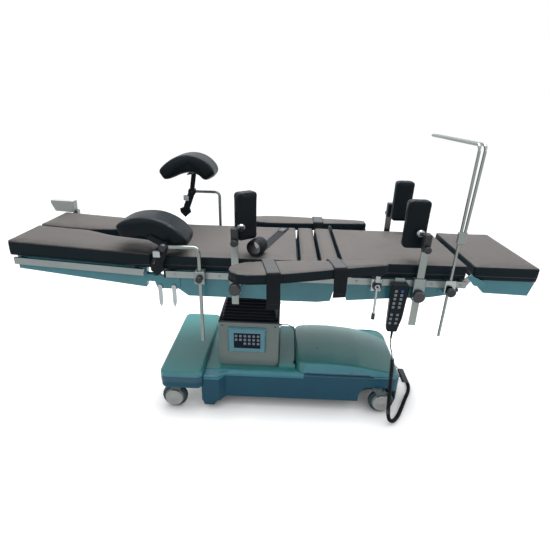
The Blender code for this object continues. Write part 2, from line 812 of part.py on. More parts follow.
def make_head_frame(frame):
    """Head frame, slimmer than the others and without rails."""
    name = "head_frame"
    pieces = side_bars(name, HEAD_PROFILE, None)
    pieces.append(deck(name, HEAD_PROFILE[0][0] + GAP, HEAD_PROFILE[-1][0] - GAP, BEAM_OUT - GAP))
    pieces += [cross_beam(name, x, HEAD_CROSS_LOW) for x in HEAD_CROSSES]
    for side in (-1, 1):
        pieces += front_ear(name, HEAD_AXIS, side, HEAD_PROFILE[1][0] + SPACER)
        low, high = sorted((side * (BEAM_OUT - GAP), side * (RAIL_IN + EAR_THICK + 2 * GAP)))
        x = HEAD_PROFILE[1][0]
        pieces.append(block(name, (x, low, RAIL_LOW + EAR_THICK + GAP), (x + SPACER - GAP, high, RAIL_TOP - GAP)))
    return mount(fuse(name, pieces), frame, teal(name))


def leg_outline():
    """Outline of one leg cushion on the near side."""
    inner = [(x, -y) for x, y in LEG_CUT]
    return [(LEG_END, -PAD_HALF), (LEG_START, -PAD_HALF), inner[2], inner[1], inner[0], (LEG_END, -LEG_MID)]


def make_leg(side_name, frame):
    """One leg section: its frame and its cushion."""
    side = -1 if side_name == "near" else 1
    name = "leg_frame_" + side_name
    inner, outer = sorted((side * BEAM_IN, side * (BEAM_OUT - GAP)))
    pieces = [prism(name, LEG_PROFILE, "Y", inner, outer)]
    pieces += rail_bar(name, LEG_RAIL, side)
    low, high = sorted((side * LEG_INNER[0], side * LEG_INNER[1]))
    pieces.append(block(name, (LEG_PROFILE[0][0], low, LEG_INNER_LOW), (LEG_INNER_END, high, DECK_TOP)))
    low, high = sorted((side * LEG_MID, side * BEAM_OUT))
    pieces.append(block(name, (LEG_PROFILE[0][0], low, DECK_TOP - DECK_THICK), (LEG_DECK_STEP, high, DECK_TOP - GAP)))
    low, high = sorted((side * LEG_DECK_MIDDLE, side * BEAM_OUT))
    start = (LEG_DECK_STEP - GAP, low, DECK_TOP - DECK_THICK)
    pieces.append(block(name, start, (LEG_DECK_END, high, DECK_TOP - GAP)))
    for x in LEG_CROSSES:
        low, high = sorted((side * LEG_INNER[0], side * (BEAM_IN + GAP)))
        pieces.append(block(name, (x, low, HEAD_CROSS_LOW), (x + CROSS, high, DECK_TOP - DECK_THICK + GAP)))
    for near, far in (LEG_INNER, (BEAM_IN, BEAM_OUT - GAP)):
        low, high = sorted((side * near, side * far))
        pieces.append(prism(name, LEG_ARM, "Y", low, high))
    pin_start = Vector((LEG_AXIS.x, side * (BEAM_OUT - OVERRUN), LEG_AXIS.z))
    pieces.append(cylinder(name, pin_start, pin_start + Vector((0.0, side * (OVERRUN + EAR_THICK), 0.0)), PIN, 12))
    if side_name == "far":
        pieces += corner_block(name)
    mount(fuse(name, pieces), frame, teal(name))
    outline = leg_outline()
    if side_name == "far":
        outline = mirrored(outline)
    name = "leg_pad_" + side_name
    return mount(cushion(name, outline, PAD_CORNER, PAD_BASE, PAD_TOP + LEG_LIFT), frame, cushion_skin(name))


def corner_block(name):
    """Raised block on an arm at the far corner of the foot end."""
    outline = [
        (BLOCK_LOW.x + BLOCK_SLANT, BLOCK_LOW.z), (BLOCK_HIGH.x, BLOCK_LOW.z), (BLOCK_HIGH.x, BLOCK_HIGH.z),
        (BLOCK_LOW.x, BLOCK_HIGH.z - BLOCK_FALL), (BLOCK_LOW.x, BLOCK_HIGH.z - BLOCK_SLANT),
    ]
    plate = prism(name, outline, "Y", BLOCK_LOW.y, BLOCK_HIGH.y)
    post = block(
        name, (LEG_RAIL[0] + 4 * GAP, RAIL_OUT - GAP, RAIL_LOW), (LEG_RAIL[0] + BLOCK_ARM, BLOCK_HIGH.y - GAP, BLOCK_LOW.z + OVERRUN)
    )
    return [plate, post]


def make_pads(frames):
    """The table's cross-wide cushions."""
    spans = {
        "seat_pad": (SEAT_START, KIDNEY_START - SLIT, frames["seat"]),
        "lumbar_pad": (LUMBAR_START, LUMBAR_END, frames["seat"]),
        "back_pad": (BACK_START, BACK_END, frames["back"]),
        "head_pad": (HEAD_START, HEAD_END, frames["head"]),
    }
    for name, (start, end, frame) in spans.items():
        outline = rectangle(start, end, -PAD_HALF, PAD_HALF)
        mount(cushion(name, outline, PAD_CORNER, PAD_BASE, PAD_TOP), frame, cushion_skin(name))
    name = "kidney_pad"
    outline = rectangle(KIDNEY_START, KIDNEY_END, -PAD_HALF, PAD_HALF)
    pad = cushion(name, outline, PAD_CORNER, PAD_BASE, PAD_TOP)
    middle = (KIDNEY_START + KIDNEY_END) / 2
    plate = block(name, (KIDNEY_START + OVERRUN, -BEAM_IN + OVERRUN, PAD_BASE - OVERRUN),
                  (KIDNEY_END - OVERRUN, BEAM_IN - OVERRUN, PAD_BASE + GAP))
    legs = [cylinder(name, (middle, side * BEAM_IN / 2, KIDNEY_LEG_LOW), (middle, side * BEAM_IN / 2, PAD_BASE - GAP), TRUNNION, 12)
            for side in (-1, 1)]
    return mount(fuse(name, [pad, plate] + legs), frames["kidney"], cushion_skin(name))


def make_release_levers(frames):
    """Flat pointed levers that hang under the leg hinges."""
    y = RELEASE_Y
    for side_name, x in RELEASE_X.items():
        name = "release_lever_" + side_name
        outline = [
            (x - RELEASE_WIDE / 2, RELEASE_Z), (x + RELEASE_WIDE / 2, RELEASE_Z),
            (x + RELEASE_WIDE / 2, RELEASE_Z - RELEASE_LONG * 0.7), (x, RELEASE_Z - RELEASE_LONG),
            (x - RELEASE_WIDE / 2, RELEASE_Z - RELEASE_LONG * 0.8),
        ]
        blade = prism(name, outline, "Y", y - RELEASE_THICK / 2, y + RELEASE_THICK / 2)
        inner, outer = -(BEAM_OUT + EAR_THICK + GAP), y - RELEASE_THICK
        hub = cylinder(name, (x, inner, RELEASE_Z), (x, outer, RELEASE_Z), RELEASE_WIDE / 2 * 1.2, 12)
        mount(fuse(name, [blade, hub]), frames["release_" + side_name], steel(name))


def wheel_profile():
    """Half section of a castor wheel with its tread and a dished hub."""
    half = WHEEL_WIDE / 2
    return [
        (WHEEL_BORE, -half), (WHEEL * 0.28, -half), (WHEEL * 0.38, -half * 0.55), (WHEEL * 0.68, -half * 0.55),
        (WHEEL * 0.76, -half), (WHEEL * 0.92, -half), (WHEEL, -half * 0.5), (WHEEL, half * 0.5),
        (WHEEL * 0.92, half), (WHEEL * 0.76, half), (WHEEL * 0.68, half * 0.55), (WHEEL * 0.38, half * 0.55),
        (WHEEL * 0.28, half), (WHEEL_BORE, half),
    ]


def make_castor(name, x, y, top, base):
    """Swivel fork and wheel; the wheel trails behind the swivel."""
    swivel = joint_frame(name + "_swivel", (x, y, 0.0), base)
    axle_x = x - TRAIL if x < 0 else x + TRAIL
    roll = joint_frame(name + "_roll", (axle_x, y, WHEEL), swivel)
    wheel_name = name + "_wheel"
    wheel = lathe(wheel_name, wheel_profile(), Vector((axle_x, y, WHEEL)), (0.0, 1.0, 0.0), 18)
    mount(wheel, roll, finish(wheel_name, (0.05, 0.05, 0.05), 0.6))
    fork_name = name + "_fork"
    inner = WHEEL_WIDE / 2 + FORK_GAP
    way = -1 if x < 0 else 1
    pieces = [cylinder(fork_name, (x, y, WHEEL * 2 + FORK_THICK / 2), (x, y, top), FORK_HEAD, 14)]
    pieces.append(
        block(fork_name, (min(x, axle_x) - FORK_HEAD * 0.6, y - inner - FORK_THICK * 1.3, WHEEL * 2 + FORK_GAP),
              (max(x, axle_x) + FORK_HEAD * 0.6, y + inner + FORK_THICK * 1.3, WHEEL * 2 + FORK_THICK + FORK_GAP))
    )
    outline = [
        (x - way * FORK_HEAD / 2, WHEEL * 2 + FORK_THICK), (axle_x + way * FORK_HEAD / 2, WHEEL * 2 + FORK_THICK),
        (axle_x + way * PEDAL_HALF, WHEEL), (axle_x, WHEEL - PEDAL_HALF), (axle_x - way * PEDAL_HALF, WHEEL),
    ]
    for side in (-1, 1):
        low, high = sorted((y + side * inner, y + side * (inner + FORK_THICK)))
        pieces.append(prism(fork_name, outline, "Y", low, high))
    reach = inner + FORK_THICK / 2
    pieces.append(cylinder(fork_name, (axle_x, y - reach, WHEEL), (axle_x, y + reach, WHEEL), AXLE, 12))
    mount(fuse(fork_name, pieces), swivel, steel(fork_name))


def body_outline(half, start=FOOT_END - OVERRUN, end=BODY_END):
    """Plan of the base's long part, rounded at the head end."""
    straight = [(start, -half), (end - BODY_ROUND, -half)]
    arc = [
        (end - BODY_ROUND + BODY_ROUND * math.sin(a), -half + BODY_ROUND * (1 - math.cos(a)))
        for a in (math.radians(d) for d in (22, 45, 68, 90))
    ]
    lower = straight + arc
    return lower + [(x, -y) for x, y in reversed(lower)]


def foot_ring(distance):
    """Plan of the cross foot at a distance inside its edge."""
    return ring_at(rectangle(FOOT_START, FOOT_END, -FOOT_HALF, FOOT_HALF), FOOT_ROUND, distance)


def make_base_cover(base):
    """Upper cover: cross foot, shouldered deck and the pale panel beside the dome."""
    name = "base_cover"
    levels = [(FOOT_EDGE, 0.0), (FOOT_TOP - OVERRUN, 0.0), (FOOT_TOP - OVERRUN * 0.3, OVERRUN * 0.3), (FOOT_TOP, OVERRUN)]
    foot = loft(name, [[(x, y, z) for x, y in foot_ring(d)] for z, d in levels])
    edge = SKIRT_TOP + GAP
    rings = [
        [(x, y, edge) for x, y in body_outline(BODY_HALF)],
        [(x, y, edge + OVERRUN * 0.4) for x, y in body_outline(BODY_HALF)],
        [(x, y, DECK - OVERRUN * 0.2) for x, y in body_outline(BODY_HALF - SHOULDER * 0.7, end=BODY_END - SHOULDER * 0.5)],
        [(x, y, DECK) for x, y in body_outline(BODY_HALF - SHOULDER, end=BODY_END - SHOULDER * 0.8)],
    ]
    body = loft(name, rings)
    panel = block(name, (PANEL_START, -PANEL_HALF, DECK - OVERRUN), (PANEL_END, PANEL_HALF, PANEL_TOP), OVERRUN * 0.3)
    gusset = []
    for side in (-1, 1):
        outline = [(FOOT_END - OVERRUN, side * (BODY_HALF - OVERRUN)), (PILLAR_START - OVERRUN, side * PILLAR_OUT),
                   (PILLAR_END - OVERRUN, side * PILLAR_OUT), (PILLAR_END + PILLAR_FLARE, side * (BODY_HALF - OVERRUN))]
        gusset.append(prism(name, outline, "Z", edge, DECK - OVERRUN * 0.3, OVERRUN * 0.2))
    return mount(fuse(name, [foot, body, panel] + gusset), base, finish(name, (0.13, 0.34, 0.34), 0.35))


def make_base_skirt(base):
    """Lower skirt with the pillars beside the foot, castor pockets and a slot for the pedal."""
    name = "base_skirt"
    outline = body_outline(BODY_HALF - GAP, PILLAR_START, BODY_END - GAP)
    body = prism(name, outline, "Z", SKIRT_LOW, SKIRT_TOP, OVERRUN * 0.3)
    rings = [
        [(x, y, z) for x, y in foot_ring(d)]
        for z, d in ((FOOT_LOW, FOOT_INSET), (FOOT_LOW + FOOT_INSET_TALL, FOOT_WALL), (FOOT_EDGE, FOOT_WALL))
    ]
    foot = loft(name, rings)
    cutters = []
    pillars = []
    for side in (-1, 1):
        inner = side * (BODY_HALF - PILLAR_SINK)
        outer = side * PILLAR_OUT
        plan = [(PILLAR_START, inner), (PILLAR_START, outer), (PILLAR_END, outer), (PILLAR_END + PILLAR_FLARE, inner)]
        pillars.append(prism(name, plan, "Z", SKIRT_LOW, SKIRT_TOP - GAP))
        inner = side * PILLAR_INNER
        plan = [(PILLAR_START, inner), (PILLAR_START, outer), (PILLAR_END - PILLAR_TAPER, outer),
                (PILLAR_END + PILLAR_TAPER / 2, inner)]
        low = [(x, y, PILLAR_LOW) for x, y in inset(counter_clockwise(plan), OVERRUN)]
        high = [(x, y, SKIRT_LOW + OVERRUN) for x, y in counter_clockwise(plan)]
        pillars.append(loft(name, [low, high]))
        profile = [(0.0, -OVERRUN), (POCKET, -OVERRUN), (POCKET, POCKET_WALL[0][0]), *POCKET_WALL,
                   (FORK_HEAD + GAP, POCKET_TOP), (0.0, POCKET_TOP)]
        cutters.append(lathe("cut", profile, Vector((CASTOR_REAR[0], side * CASTOR_REAR[1], 0.0)), (0.0, 0.0, 1.0), 20))
    cutters.append(block("cut", (FOOT_START - OVERRUN, -FOOT_HALF, FOOT_EDGE - GAP), (FOOT_END + GAP, FOOT_HALF, DECK)))
    slot = PEDAL_HALF + GAP * 3
    cutters.append(
        block("cut", (PEDAL_PLACE.x - 2 * OVERRUN, PEDAL_PLACE.y - slot, PEDAL_PLACE.z - 2.4 * OVERRUN),
              (BODY_END + OVERRUN, PEDAL_PLACE.y + slot, PEDAL_PLACE.z + 2.4 * OVERRUN))
    )
    skirt = fuse(name, [body, foot] + pillars, cutters)
    skirt = fuse(name, [skirt, cylinder(name, CORD_GLAND - Vector((OVERRUN, 0.0, 0.0)), CORD_GLAND + Vector((GLAND_LONG - GAP, 0.0, 0.0)), GLAND, 12),
                        cylinder(name, PEDAL_PLACE - Vector((0.0, slot + OVERRUN, 0.0)), PEDAL_PLACE + Vector((0.0, slot + OVERRUN, 0.0)), PIN, 12)])
    return mount(skirt, base, finish(name, (0.024, 0.09, 0.135), 0.35))


def make_rear_dome(base):
    """Domed cover over the rear of the base."""
    name = "rear_dome"
    corners = rectangle(DOME_START, DOME_END - SHOULDER, -DOME_HALF + OVERRUN, DOME_HALF - OVERRUN)
    rings = [[(x, y, DECK + GAP + z) for x, y in ring_at(corners, DOME_ROUND, d, 5)] for z, d in DOME_STEPS]
    return mount(loft(name, rings), base, finish(name, (0.12, 0.32, 0.32), 0.35))


def make_brake_pedal(frame):
    name = "brake_pedal"
    place = PEDAL_PLACE
    hub = cylinder(name, place - Vector((0.0, PEDAL_HALF, 0.0)), place + Vector((0.0, PEDAL_HALF, 0.0)), PEDAL_HUB + GAP, 14)
    arm = block(name, (place.x, place.y - PEDAL_HALF * 0.8, place.z - PEDAL_THICK / 2),
                (place.x + PEDAL_ARM + PEDAL_DEEP / 2, place.y + PEDAL_HALF * 0.8, place.z + PEDAL_THICK / 2))
    tread = block(name, (place.x + PEDAL_ARM, place.y - PEDAL_WIDE / 2, place.z - PEDAL_THICK),
                  (place.x + PEDAL_ARM + PEDAL_DEEP, place.y + PEDAL_WIDE / 2, place.z + PEDAL_THICK), PEDAL_THICK / 3)
    hole = cylinder("cut", place - Vector((0.0, 2 * PEDAL_HALF, 0.0)), place + Vector((0.0, 2 * PEDAL_HALF, 0.0)), PIN + GAP, 12)
    return mount(fuse(name, [hub, arm, tread], [hole]), frame, black(name))


def make_column_housing(base):
    """Open-topped grey housing with a well for the lifting column."""
    name = "column_housing"
    x0, x1 = BOX_START, BOX_END
    outline = [(x0, BOX_TOP), (x0, BOX_LOW + BOX_ROUND)]
    outline += [(x0 + BOX_ROUND * (1 - math.cos(a)), BOX_LOW + BOX_ROUND * (1 - math.sin(a)))
                for a in (math.radians(d) for d in (30, 60, 90))]
    outline += [(x1 - BOX_ROUND * (1 - math.sin(a)), BOX_LOW + BOX_ROUND * (1 - math.cos(a)))
                for a in (math.radians(d) for d in (0, 30, 60, 90))]
    outline.append((x1, BOX_TOP))
    shell = prism(name, outline, "Y", -BOX_HALF, BOX_HALF, 0.003)
    inside = block("cut", (x0 + BOX_WALL, -BOX_HALF + BOX_WALL, BOX_FLOOR), (x1 - BOX_WALL, BOX_HALF - BOX_WALL, BOX_TOP + OVERRUN))
    well = INNER_HALF + GAP
    bore = block("cut", (-well, -well, WELL_LOW), (well, well, BOX_TOP))
    return mount(fuse(name, [shell], [inside, bore]), base, finish(name, (0.22, 0.25, 0.24), 0.45))


def make_panel(base):
    """Bezel with sloped sides on the housing's front, and the membrane keypad set into it."""
    name = "panel_bezel"
    front = -BOX_HALF - GAP
    wide = [(BEZEL_START, BEZEL_LOW), (BEZEL_END, BEZEL_LOW), (BEZEL_END, BEZEL_TOP), (BEZEL_START, BEZEL_TOP)]
    slim = inset(wide, BEZEL_DEEP / 2)
    rings = [[(x, front, z) for x, z in rounded(wide, 0.008, 2)],
             [(x, front - BEZEL_DEEP * 0.4, z) for x, z in rounded(wide, 0.008, 2)],
             [(x, front - BEZEL_DEEP, z) for x, z in rounded(slim, 0.008, 2)]]
    recess = block("cut", (KEYPAD_START - GAP, front - 2 * BEZEL_DEEP, KEYPAD_LOW - GAP),
                   (KEYPAD_END + GAP, front - BEZEL_DEEP + KEYPAD_DEEP, KEYPAD_TOP + GAP))
    mount(fuse(name, [loft(name, rings)], [recess]), base, finish(name, (0.13, 0.38, 0.48), 0.4))
    name = "keypad"
    back = front - BEZEL_DEEP + KEYPAD_DEEP - GAP
    face = back - KEYPAD_DEEP * 0.6
    pieces = [block(name, (KEYPAD_START, face, KEYPAD_LOW), (KEYPAD_END, back, KEYPAD_TOP))]
    step_x = (KEYPAD_END - KEYPAD_START) / KEY_COLUMNS
    step_z = (KEYPAD_TOP - KEYPAD_LOW) / 4
    for row in range(3):
        for column in range(2 if row == 2 else 0, KEY_COLUMNS):
            x = KEYPAD_START + step_x * (column + 0.5)
            z = KEYPAD_TOP - step_z * (row + 0.75)
            pieces.append(block(name, (x - KEY / 2, face - KEY_RISE, z - KEY / 2), (x + KEY / 2, face + GAP, z + KEY / 2)))
    return mount(fuse(name, pieces), base, finish(name, (0.01, 0.02, 0.04), 0.4))


def make_bellows(frame):
    """Pleated sleeve from the housing's floor up to the column's head."""
    name = "bellows"
    low, high = BOX_FLOOR + GAP, HEAD_PLATE - GAP
    rings = []
    for i in range(2 * PLEATS + 1):
        share = i / (2 * PLEATS)
        fold = BELLOWS_FOLD if i % 2 else 0.0
        half_x = BELLOWS_LOW[0] + (BELLOWS_TOP[0] - BELLOWS_LOW[0]) * share - fold
        half_y = BELLOWS_LOW[1] + (BELLOWS_TOP[1] - BELLOWS_LOW[1]) * share - fold
        z = low + (high - low) * share
        rings.append([(x, y, z) for x, y in rounded(rectangle(-half_x, half_x, -half_y, half_y), 0.02, 2)])
    bore = block("cut", (-BELLOWS_BORE, -BELLOWS_BORE, low - OVERRUN), (BELLOWS_BORE, BELLOWS_BORE, high + OVERRUN))
    return mount(fuse(name, [loft(name, rings)], [bore]), frame, black(name))


def make_column_inner(frame):
    """Square lifting tube with its head plate and the ears of the lengthwise tilt."""
    name = "column_inner"
    tube_part = block(name, (-INNER_HALF, -INNER_HALF, INNER_LOW), (INNER_HALF, INNER_HALF, HEAD_PLATE + GAP), EDGE)
    plate = block(name, (-HEAD_HALF, -HEAD_HALF - 2 * OVERRUN, HEAD_PLATE), (HEAD_HALF, HEAD_HALF + 2 * OVERRUN, HEAD_PLATE + HEAD_THICK))
    pieces = [tube_part, plate]
    for side in (-1, 1):
        low, high = sorted((side * (COLUMN_EAR - COLUMN_EAR_THICK), side * COLUMN_EAR))
        foot, tip = HEAD_PLATE + GAP, TILT_AXIS.z + COLUMN_EAR_RISE
        half, waist, crest = COLUMN_EAR_HALVES
        outline = [(-half, foot), (half, foot), (waist, TILT_AXIS.z), (crest, tip), (-crest, tip), (-waist, TILT_AXIS.z)]
        pieces.append(prism(name, outline, "Y", low, high))
    reach = COLUMN_EAR + OVERRUN
    hole = cylinder("cut", (0.0, -reach, TILT_AXIS.z), (0.0, reach, TILT_AXIS.z), TRUNNION + GAP)
    return mount(fuse(name, pieces, [hole]), frame, steel(name))


def make_yoke(frame):
    """Cross block with trunnions along both tilt axes."""
    name = "tilt_yoke"
    centre = TILT_AXIS
    body = block(name, centre - YOKE, centre + YOKE, EDGE)
    along = cylinder(name, centre - Vector((CRADLE + CRADLE_THICK, 0.0, 0.0)), centre + Vector((CRADLE + CRADLE_THICK, 0.0, 0.0)), TRUNNION)
    across = cylinder(name, centre - Vector((0.0, COLUMN_EAR, 0.0)), centre + Vector((0.0, COLUMN_EAR, 0.0)), TRUNNION)
    return mount(fuse(name, [body, along, across]), frame, steel(name))


def rail_clamp(name, x, side, rod_y, rod, extra=()):
    """A clamp that grips the rail and guides a round rod."""
    low, high = sorted((side * (RAIL_IN + 0.0015), side * (RAIL_OUT + CLAMP_DEEP)))
    body = block(name, (x - CLAMP_HALF, low, RAIL_LOW - CLAMP_DROP), (x + CLAMP_HALF, high, RAIL_TOP + CLAMP_RISE), 0.003)
    low, high = sorted((side * (RAIL_IN - OVERRUN), side * (RAIL_OUT + GAP)))
    cutters = [block("cut", (x - 2 * CLAMP_HALF, low, RAIL_LOW - GAP), (x + 2 * CLAMP_HALF, high, RAIL_TOP + GAP))]
    if rod:
        start = (x, side * rod_y, RAIL_LOW - 3 * CLAMP_DROP)
        cutters.append(cylinder("cut", start, (x, side * rod_y, RAIL_TOP + 3 * CLAMP_RISE), rod + GAP))
    return fuse(name, [body] + list(extra), cutters)


def star_knob(name, place, way, radius):
    """A round grip knob on its neck."""
    profile = [(0.0, 0.0), (radius * 0.4, 0.0), (radius * 0.4, radius * 0.4), (radius, radius * 0.5),
               (radius, radius * 1.1), (radius * 0.8, radius * 1.3), (0.0, radius * 1.3)]
    return lathe(name, profile, Vector(place), way, 14)


def knee_path(side_name):
    """Middle line of a knee cushion in world places, smoothed."""
    pivot = Vector((KNEE_PIVOT_X, KNEE_HEIGHTS[side_name])) + KNEE_SHIFTS[side_name]
    turn = Matrix.Rotation(KNEE_TURNS[side_name], 2)
    points = [pivot + turn @ Vector(point) for point in KNEE_PATH]
    result = []
    padded = [2 * points[0] - points[1]] + points + [2 * points[-1] - points[-2]]
    for i in range(1, len(padded) - 2):
        a, b, c, d = padded[i - 1 : i + 3]
        for t in (0.0, 0.5):
            result.append(0.5 * (2 * b + (c - a) * t + (2 * a - 5 * b + 4 * c - d) * t**2 + (3 * b - a - 3 * c + d) * t**3))
    result.append(points[-1])
    return result


def knee_section(thick, wide):
    """Cross-section of a knee cushion: flat below, crowned above."""
    half, top = wide / 2, thick / 2
    lower = [(-half * 0.88, -top), (half * 0.88, -top), (half * 0.97, -top * 0.6), (half, 0.0)]
    upper = [(half * 0.96, top * 0.62), (half * 0.84, top * 0.92), (half * 0.45, top * 1.08), (0.0, top * 1.12)]
    return lower + upper + [(-y, z) for y, z in reversed(upper[:-1])] + [(-half, 0.0), (-half * 0.97, -top * 0.6)]


def make_knee_pad(side_name, frame):
    """Saddle cushion bent over an arc."""
    name = "knee_pad_" + side_name
    side = -1 if side_name == "near" else 1
    path = knee_path(side_name)
    middle_y = side * (KNEE_Y - BOSS_HALF - BRACKET_THICK - 3 * GAP - KNEE_WIDE / 2)
    rings = []
    count = len(path)
    for i, point in enumerate(path):
        ahead, behind = path[min(i + 1, count - 1)], path[max(i - 1, 0)]
        along = (ahead - behind).normalized()
        up = Vector((-along.y, along.x))
        shrink = 0.80 if i in (0, count - 1) else 1.0
        section = knee_section(KNEE_THICK * shrink, KNEE_WIDE - (1 - shrink) * KNEE_THICK)
        rings.append([(point.x + up.x * z, middle_y + y, point.y + up.y * z) for y, z in section])
    for at, other, end in ((0, 1, 0), (len(rings) - 1, len(rings) - 2, len(rings))):
        pushed = []
        middle = sum((Vector(p) for p in rings[at]), Vector()) / len(rings[at])
        inner = sum((Vector(p) for p in rings[other]), Vector()) / len(rings[other])
        away = (middle - inner).normalized() * KNEE_INSET
        for p in rings[at]:
            pushed.append(tuple(middle + (Vector(p) - middle) * 0.6 + away))
        rings.insert(end, pushed)
    return mount(loft(name, rings), frame, cushion_skin(name), 50)


def strip(name, start, end, wide, low, high):
    """A flat bar between two points of the plane of length and height."""
    way = (end - start).normalized()
    side = Vector((-way.y, way.x)) * (wide / 2)
    corners = [start - side, end - side, end + side, start + side]
    return prism(name, [tuple(point) for point in corners], "Y", low, high)


def make_knee_bracket(side_name, frame):
    """Dark plate that turns on the rod's boss, with a tongue under the cushion and a diamond foot."""
    name = "knee_bracket_" + side_name
    side = -1 if side_name == "near" else 1
    pivot = Vector((KNEE_PIVOT_X, KNEE_HEIGHTS[side_name]))
    outer = KNEE_Y - BOSS_HALF - GAP
    low, high = sorted((side * outer, side * (outer - BRACKET_THICK)))
    first, last = knee_path(side_name)[5:7]
    along = (last - first).normalized()
    up = Vector((-along.y, along.x))
    seats = [first - up * (KNEE_THICK / 2 + TONGUE_PLAY), last - up * (KNEE_THICK / 2 + TONGUE_PLAY)]
    corners = seats + [point - up * BRACKET_THICK for point in reversed(seats)]
    tongue_low, tongue_high = sorted((side * (outer - BRACKET_THICK / 2), side * (outer - TONGUE)))
    tongue = prism(name, [tuple(point) for point in corners], "Y", tongue_low, tongue_high)
    carry = (seats[0] + seats[1]) / 2 - up * (BRACKET_THICK / 3)
    arm = strip(name, pivot, carry, BRACKET_WIDE * 0.7, low, high)
    leg = strip(name, pivot, pivot + BRACKET_FOOT, BRACKET_WIDE, low, high)
    foot = prism(name, [tuple(pivot + BRACKET_FOOT + Vector(point)) for point in DIAMOND], "Y", low, high)
    disc = cylinder(name, (pivot.x, low + GAP / 2, pivot.y), (pivot.x, high - GAP / 2, pivot.y), BRACKET_WIDE * 0.6, 16)
    lug_low, lug_high = sorted((side * (outer - GAP), side * (outer + BOSS)))
    lug_x, lug_z = pivot.x - BRACKET_WIDE, pivot.y - BRACKET_WIDE
    lug = block(name, (lug_x - BOSS, lug_low, lug_z - BOSS), (lug_x + BOSS, lug_high, lug_z + BOSS * 0.8), SMALL_EDGE)
    start = Vector((pivot.x, side * (outer - 3 * OVERRUN), pivot.y))
    hole = cylinder("cut", start, start + Vector((0.0, side * 5 * OVERRUN, 0.0)), PIN + GAP, 12)
    return mount(fuse(name, [leg, arm, foot, disc, tongue, lug], [hole]), frame, black(name))


def make_knee_rod(side_name, frame):
    """Cranked rod whose boss and knob hold the bracket."""
    name = "knee_rod_" + side_name
    side = -1 if side_name == "near" else 1
    y, top = side * KNEE_Y, KNEE_HEIGHTS[side_name]
    corner = (KNEE_X, y, top)
    low, tip = (KNEE_X, y, top - ROD_LONG), (KNEE_PIVOT_X + ROD, y, top)
    rod = tube(name, [low] + arc_bend(corner, low, tip, ROD_BEND) + [tip], ROD, 3)
    boss = cylinder(name, (KNEE_PIVOT_X, y - BOSS_HALF, top), (KNEE_PIVOT_X, y + BOSS_HALF, top), BOSS, 16)
    inner, outer = side * (KNEE_Y - BOSS_HALF), side * (KNEE_Y + BOSS_HALF)
    end = inner - side * BRACKET_THICK
    pin = cylinder(name, (KNEE_PIVOT_X, inner + side * GAP, top), (KNEE_PIVOT_X, end, top), PIN, 12)
    knob = lathe(name, [(0.0, 0.0), (BOSS * 0.7, 0.0), (BOSS * 1.2, BOSS * 0.4), (BOSS * 0.9, BOSS), (0.0, BOSS)],
                 Vector((KNEE_PIVOT_X, outer - side * GAP, top)), (0.0, side, 0.0), 14)
    return mount(fuse(name, [rod, boss, pin, knob]), frame, steel(name))


def make_knee_clamp(side_name, frame):
    name = "knee_clamp_" + side_name
    side = -1 if side_name == "near" else 1
    knob = star_knob(name, (KNEE_X, side * (RAIL_OUT + CLAMP_DEEP - GAP), RAIL_LOW + BOSS), (0.0, side, 0.0), BOSS)
    return mount(rail_clamp(name, KNEE_X, side, KNEE_Y, ROD, [knob]), frame, steel(name))


def board_outline(shrink=0.0):
    """Plan of an armboard in its own axes, from the pivot end to the round free end."""
    points = [(-BOARD_BACK + BOARD_LONG * u, BOARD_HALF * w - shrink) for u, w in BOARD_SHARES]
    tip = (BOARD_LONG - BOARD_BACK, BOARD_HALF * 0.12)
    half = points + [tip]
    return [(x, -w) for x, w in half] + [(x, w) for x, w in reversed(half)]


def turned(obj, place, turn):
    """Turns a shape about the vertical and carries it to its place."""
    obj.data.transform(Matrix.Translation(place) @ Matrix.Rotation(turn, 4, "Z"))
    return obj


def make_armboard(side_name, frame):
    """Armboard cushion, its carrier plate and the straps that hang from it."""
    board = BOARDS[side_name]
    place, turn = board["place"], board["turn"]
    name = "armboard_pad_" + side_name
    pad = cushion(name, board_outline(), 0.0, -BOARD_THICK, 0.0, PAD_TUCK / 2)
    mount(turned(pad, place, turn), frame, cushion_skin(name))
    name = "armboard_plate_" + side_name
    top = -BOARD_THICK - GAP
    plate = prism(name, board_outline(2 * PAD_TUCK), "Z", top - BOARD_PLATE, top)
    hub = cylinder(name, (0.0, 0.0, top - BOARD_PLATE + GAP), (0.0, 0.0, top - 3 * BOARD_PLATE), 2 * BOARD_POST, 16)
    hole = cylinder("cut", (0.0, 0.0, top - 4 * BOARD_PLATE), (0.0, 0.0, top - BOARD_PLATE - GAP), BOARD_POST + GAP)
    obj = fuse(name, [plate, hub], [hole])
    mount(turned(obj, place, turn), frame, black(name))
    for strap, (owner, along, outer_drop, inner_drop) in STRAPS.items():
        if owner == side_name:
            make_strap(strap, along, outer_drop, inner_drop, board, frame)


def board_half_at(along):
    """Half width of an armboard at a distance from its pivot."""
    share = (along + BOARD_BACK) / BOARD_LONG
    for (u0, w0), (u1, w1) in zip(BOARD_SHARES, BOARD_SHARES[1:]):
        if u0 <= share <= u1:
            return BOARD_HALF * (w0 + (w1 - w0) * (share - u0) / (u1 - u0))
    return BOARD_HALF


def thickened(path, thick):
    """A closed outline from an open path and the path beside it."""
    beside = []
    for i, point in enumerate(path):
        along = (Vector(path[min(i + 1, len(path) - 1)]) - Vector(path[max(i - 1, 0)])).normalized()
        beside.append(tuple(Vector(point) + Vector((along.y, -along.x)) * thick))
    return list(path) + beside[::-1]


